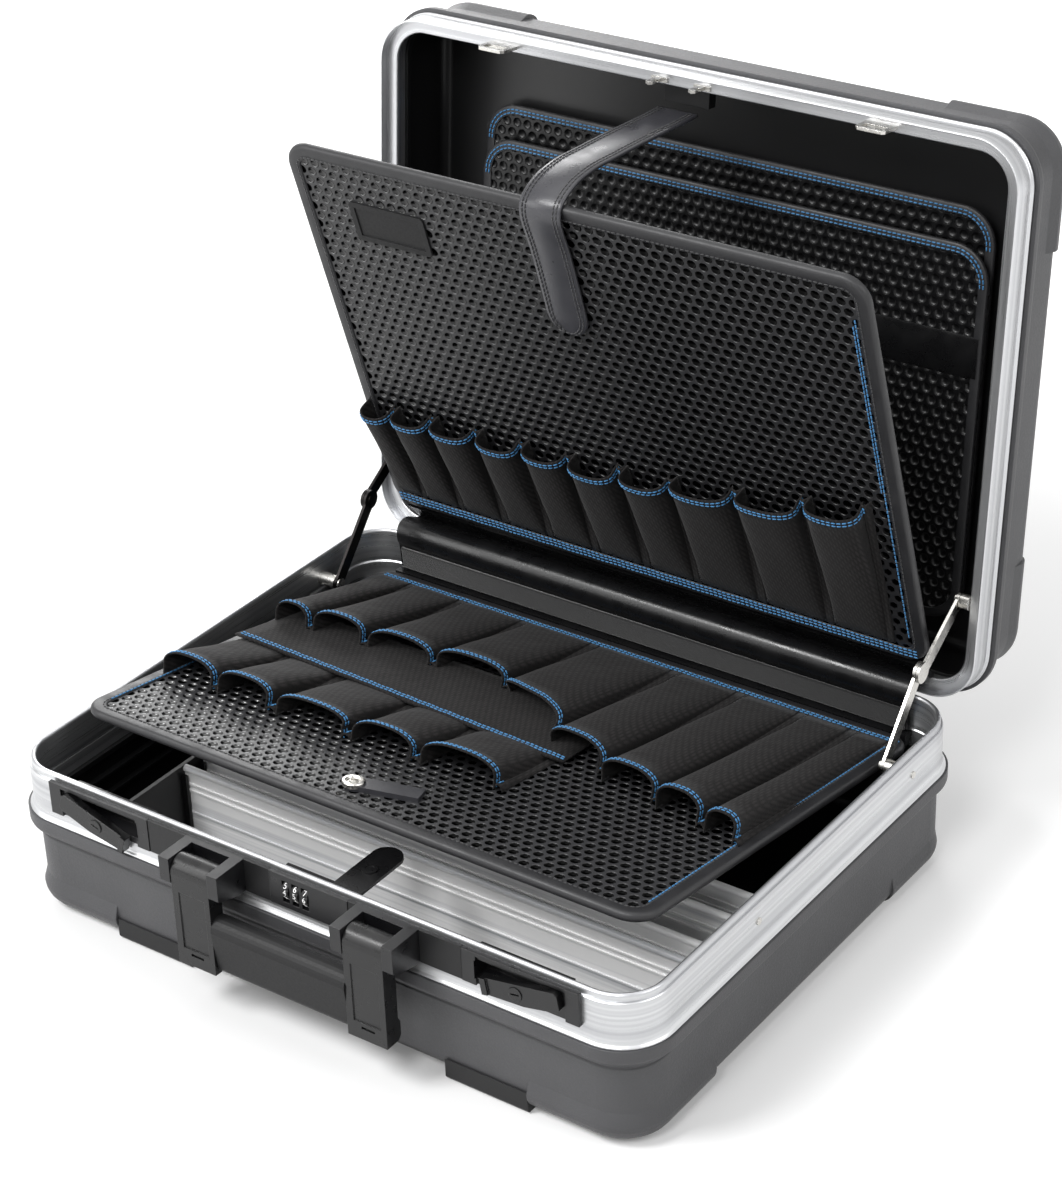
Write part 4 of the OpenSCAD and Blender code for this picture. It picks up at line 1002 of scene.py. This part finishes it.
def paleFloor():
    material = bpy.data.materials.new("paleFloor")
    material.use_nodes = True
    tree = material.node_tree
    tree.nodes.clear()
    paint = addNode(tree, "ShaderNodeBsdfDiffuse", {"Color": (0.8, 0.8, 0.8, 1)})
    place = addNode(tree, "ShaderNodeTexCoord", out="Object")
    away = addNode(tree, "ShaderNodeVectorMath", {0: place, 1: floorGlow["middle"]}, out="Value",
                   operation="DISTANCE")
    even = addNode(tree, "ShaderNodeMapRange", {"Value": away, "From Min": floorGlow["near"],
                                                "From Max": floorGlow["far"], "To Min": floorGlow["least"],
                                                "To Max": floorGlow["most"]})
    strength = addNode(tree, "ShaderNodeMath", {0: seenDirectly(tree), 1: even}, operation="MULTIPLY")
    glow = addNode(tree, "ShaderNodeEmission", {"Color": (1, 1, 1, 1), "Strength": strength})
    both = addNode(tree, "ShaderNodeAddShader", {0: paint, 1: glow})
    addNode(tree, "ShaderNodeOutputMaterial", {"Surface": both}, out=None)
    return material


floorHalf, floorHeight = 6, -0.0005
corners = [(x * floorHalf, y * floorHalf, floorHeight) for x, y in ((-1, -1), (1, -1), (1, 1), (-1, 1))]
floor = makePiece("floor", corners, [(0, 1, 2, 3)], paleFloor(), smooth=False)

world = bpy.data.worlds.new("paleRoom")
bpy.context.scene.world = world
world.use_nodes = True
tree = world.node_tree
tree.nodes.clear()
brightness = addNode(tree, "ShaderNodeMapRange", {"Value": seenDirectly(tree), "To Min": 0.2})
sky = addNode(tree, "ShaderNodeBackground", {"Color": (1, 1, 1, 1), "Strength": brightness})
addNode(tree, "ShaderNodeOutputWorld", {"Surface": sky}, out=None)


def softLight(name, place, target, size, power):
    light = bpy.data.lights.new(name, "AREA")
    light.shape = "RECTANGLE"
    light.size, light.size_y = size
    light.energy = power
    lamp = addObject(name, light)
    lamp.location = place
    lamp.rotation_euler = (Vector(target) - Vector(place)).to_track_quat("-Z", "Y").to_euler()


# Each light's place and the point that it faces in metres, its width and height, and its power in watts
softboxes = {"rightSoftbox": ((2.2, 0.2, 1.7), (0, 0, 0.2), (1.6, 1.6), 20),
             "topSoftbox": ((-0.3, 0.3, 2.6), (0, 0, 0.1), (1.8, 1.4), 12),
             "rearLeftSoftbox": ((-2.0, 2.1, 1.15), (0, 0, 0.2), (1.5, 1.3), 34),
             "frontLeftSoftbox": ((-2.0, -1.9, 1.15), (0, 0, 0.25), (1.3, 1.5), 18),
             "frontTopSoftbox": ((-0.9, -1.5, 2.3), (0, -0.1, 0.1), (0.9, 0.9), 54),
             "frontSoftbox": ((0.5, -1.8, 2.0), (0, -0.1, 0.1), (0.8, 0.8), 24)}
for name, settings in softboxes.items():
    softLight(name, *settings)

# The camera's place in metres, and the directions of its picture's right and upper sides
shot = {"lens": 90.69, "sensor": 36, "place": (0.9919, -1.2890, 1.1421), "right": (0.8153, 0.5780, -0.0340),
        "up": (-0.2648, 0.4244, 0.8659)}
camera = bpy.data.cameras.new("camera")
camera.lens = shot["lens"]
camera.sensor_width = shot["sensor"]
camera.clip_end = 50
view = addObject("camera", camera)
right, up = Vector(shot["right"]), Vector(shot["up"])
up = (up - right * up.dot(right) / right.length_squared).normalized()
right.normalize()
pose = Matrix((right, up, right.cross(up))).transposed().to_4x4()
pose.translation = Vector(shot["place"])
view.matrix_world = pose
bpy.context.scene.camera = view
bpy.context.scene.view_settings.view_transform = "Standard"
print("room, light and camera set")
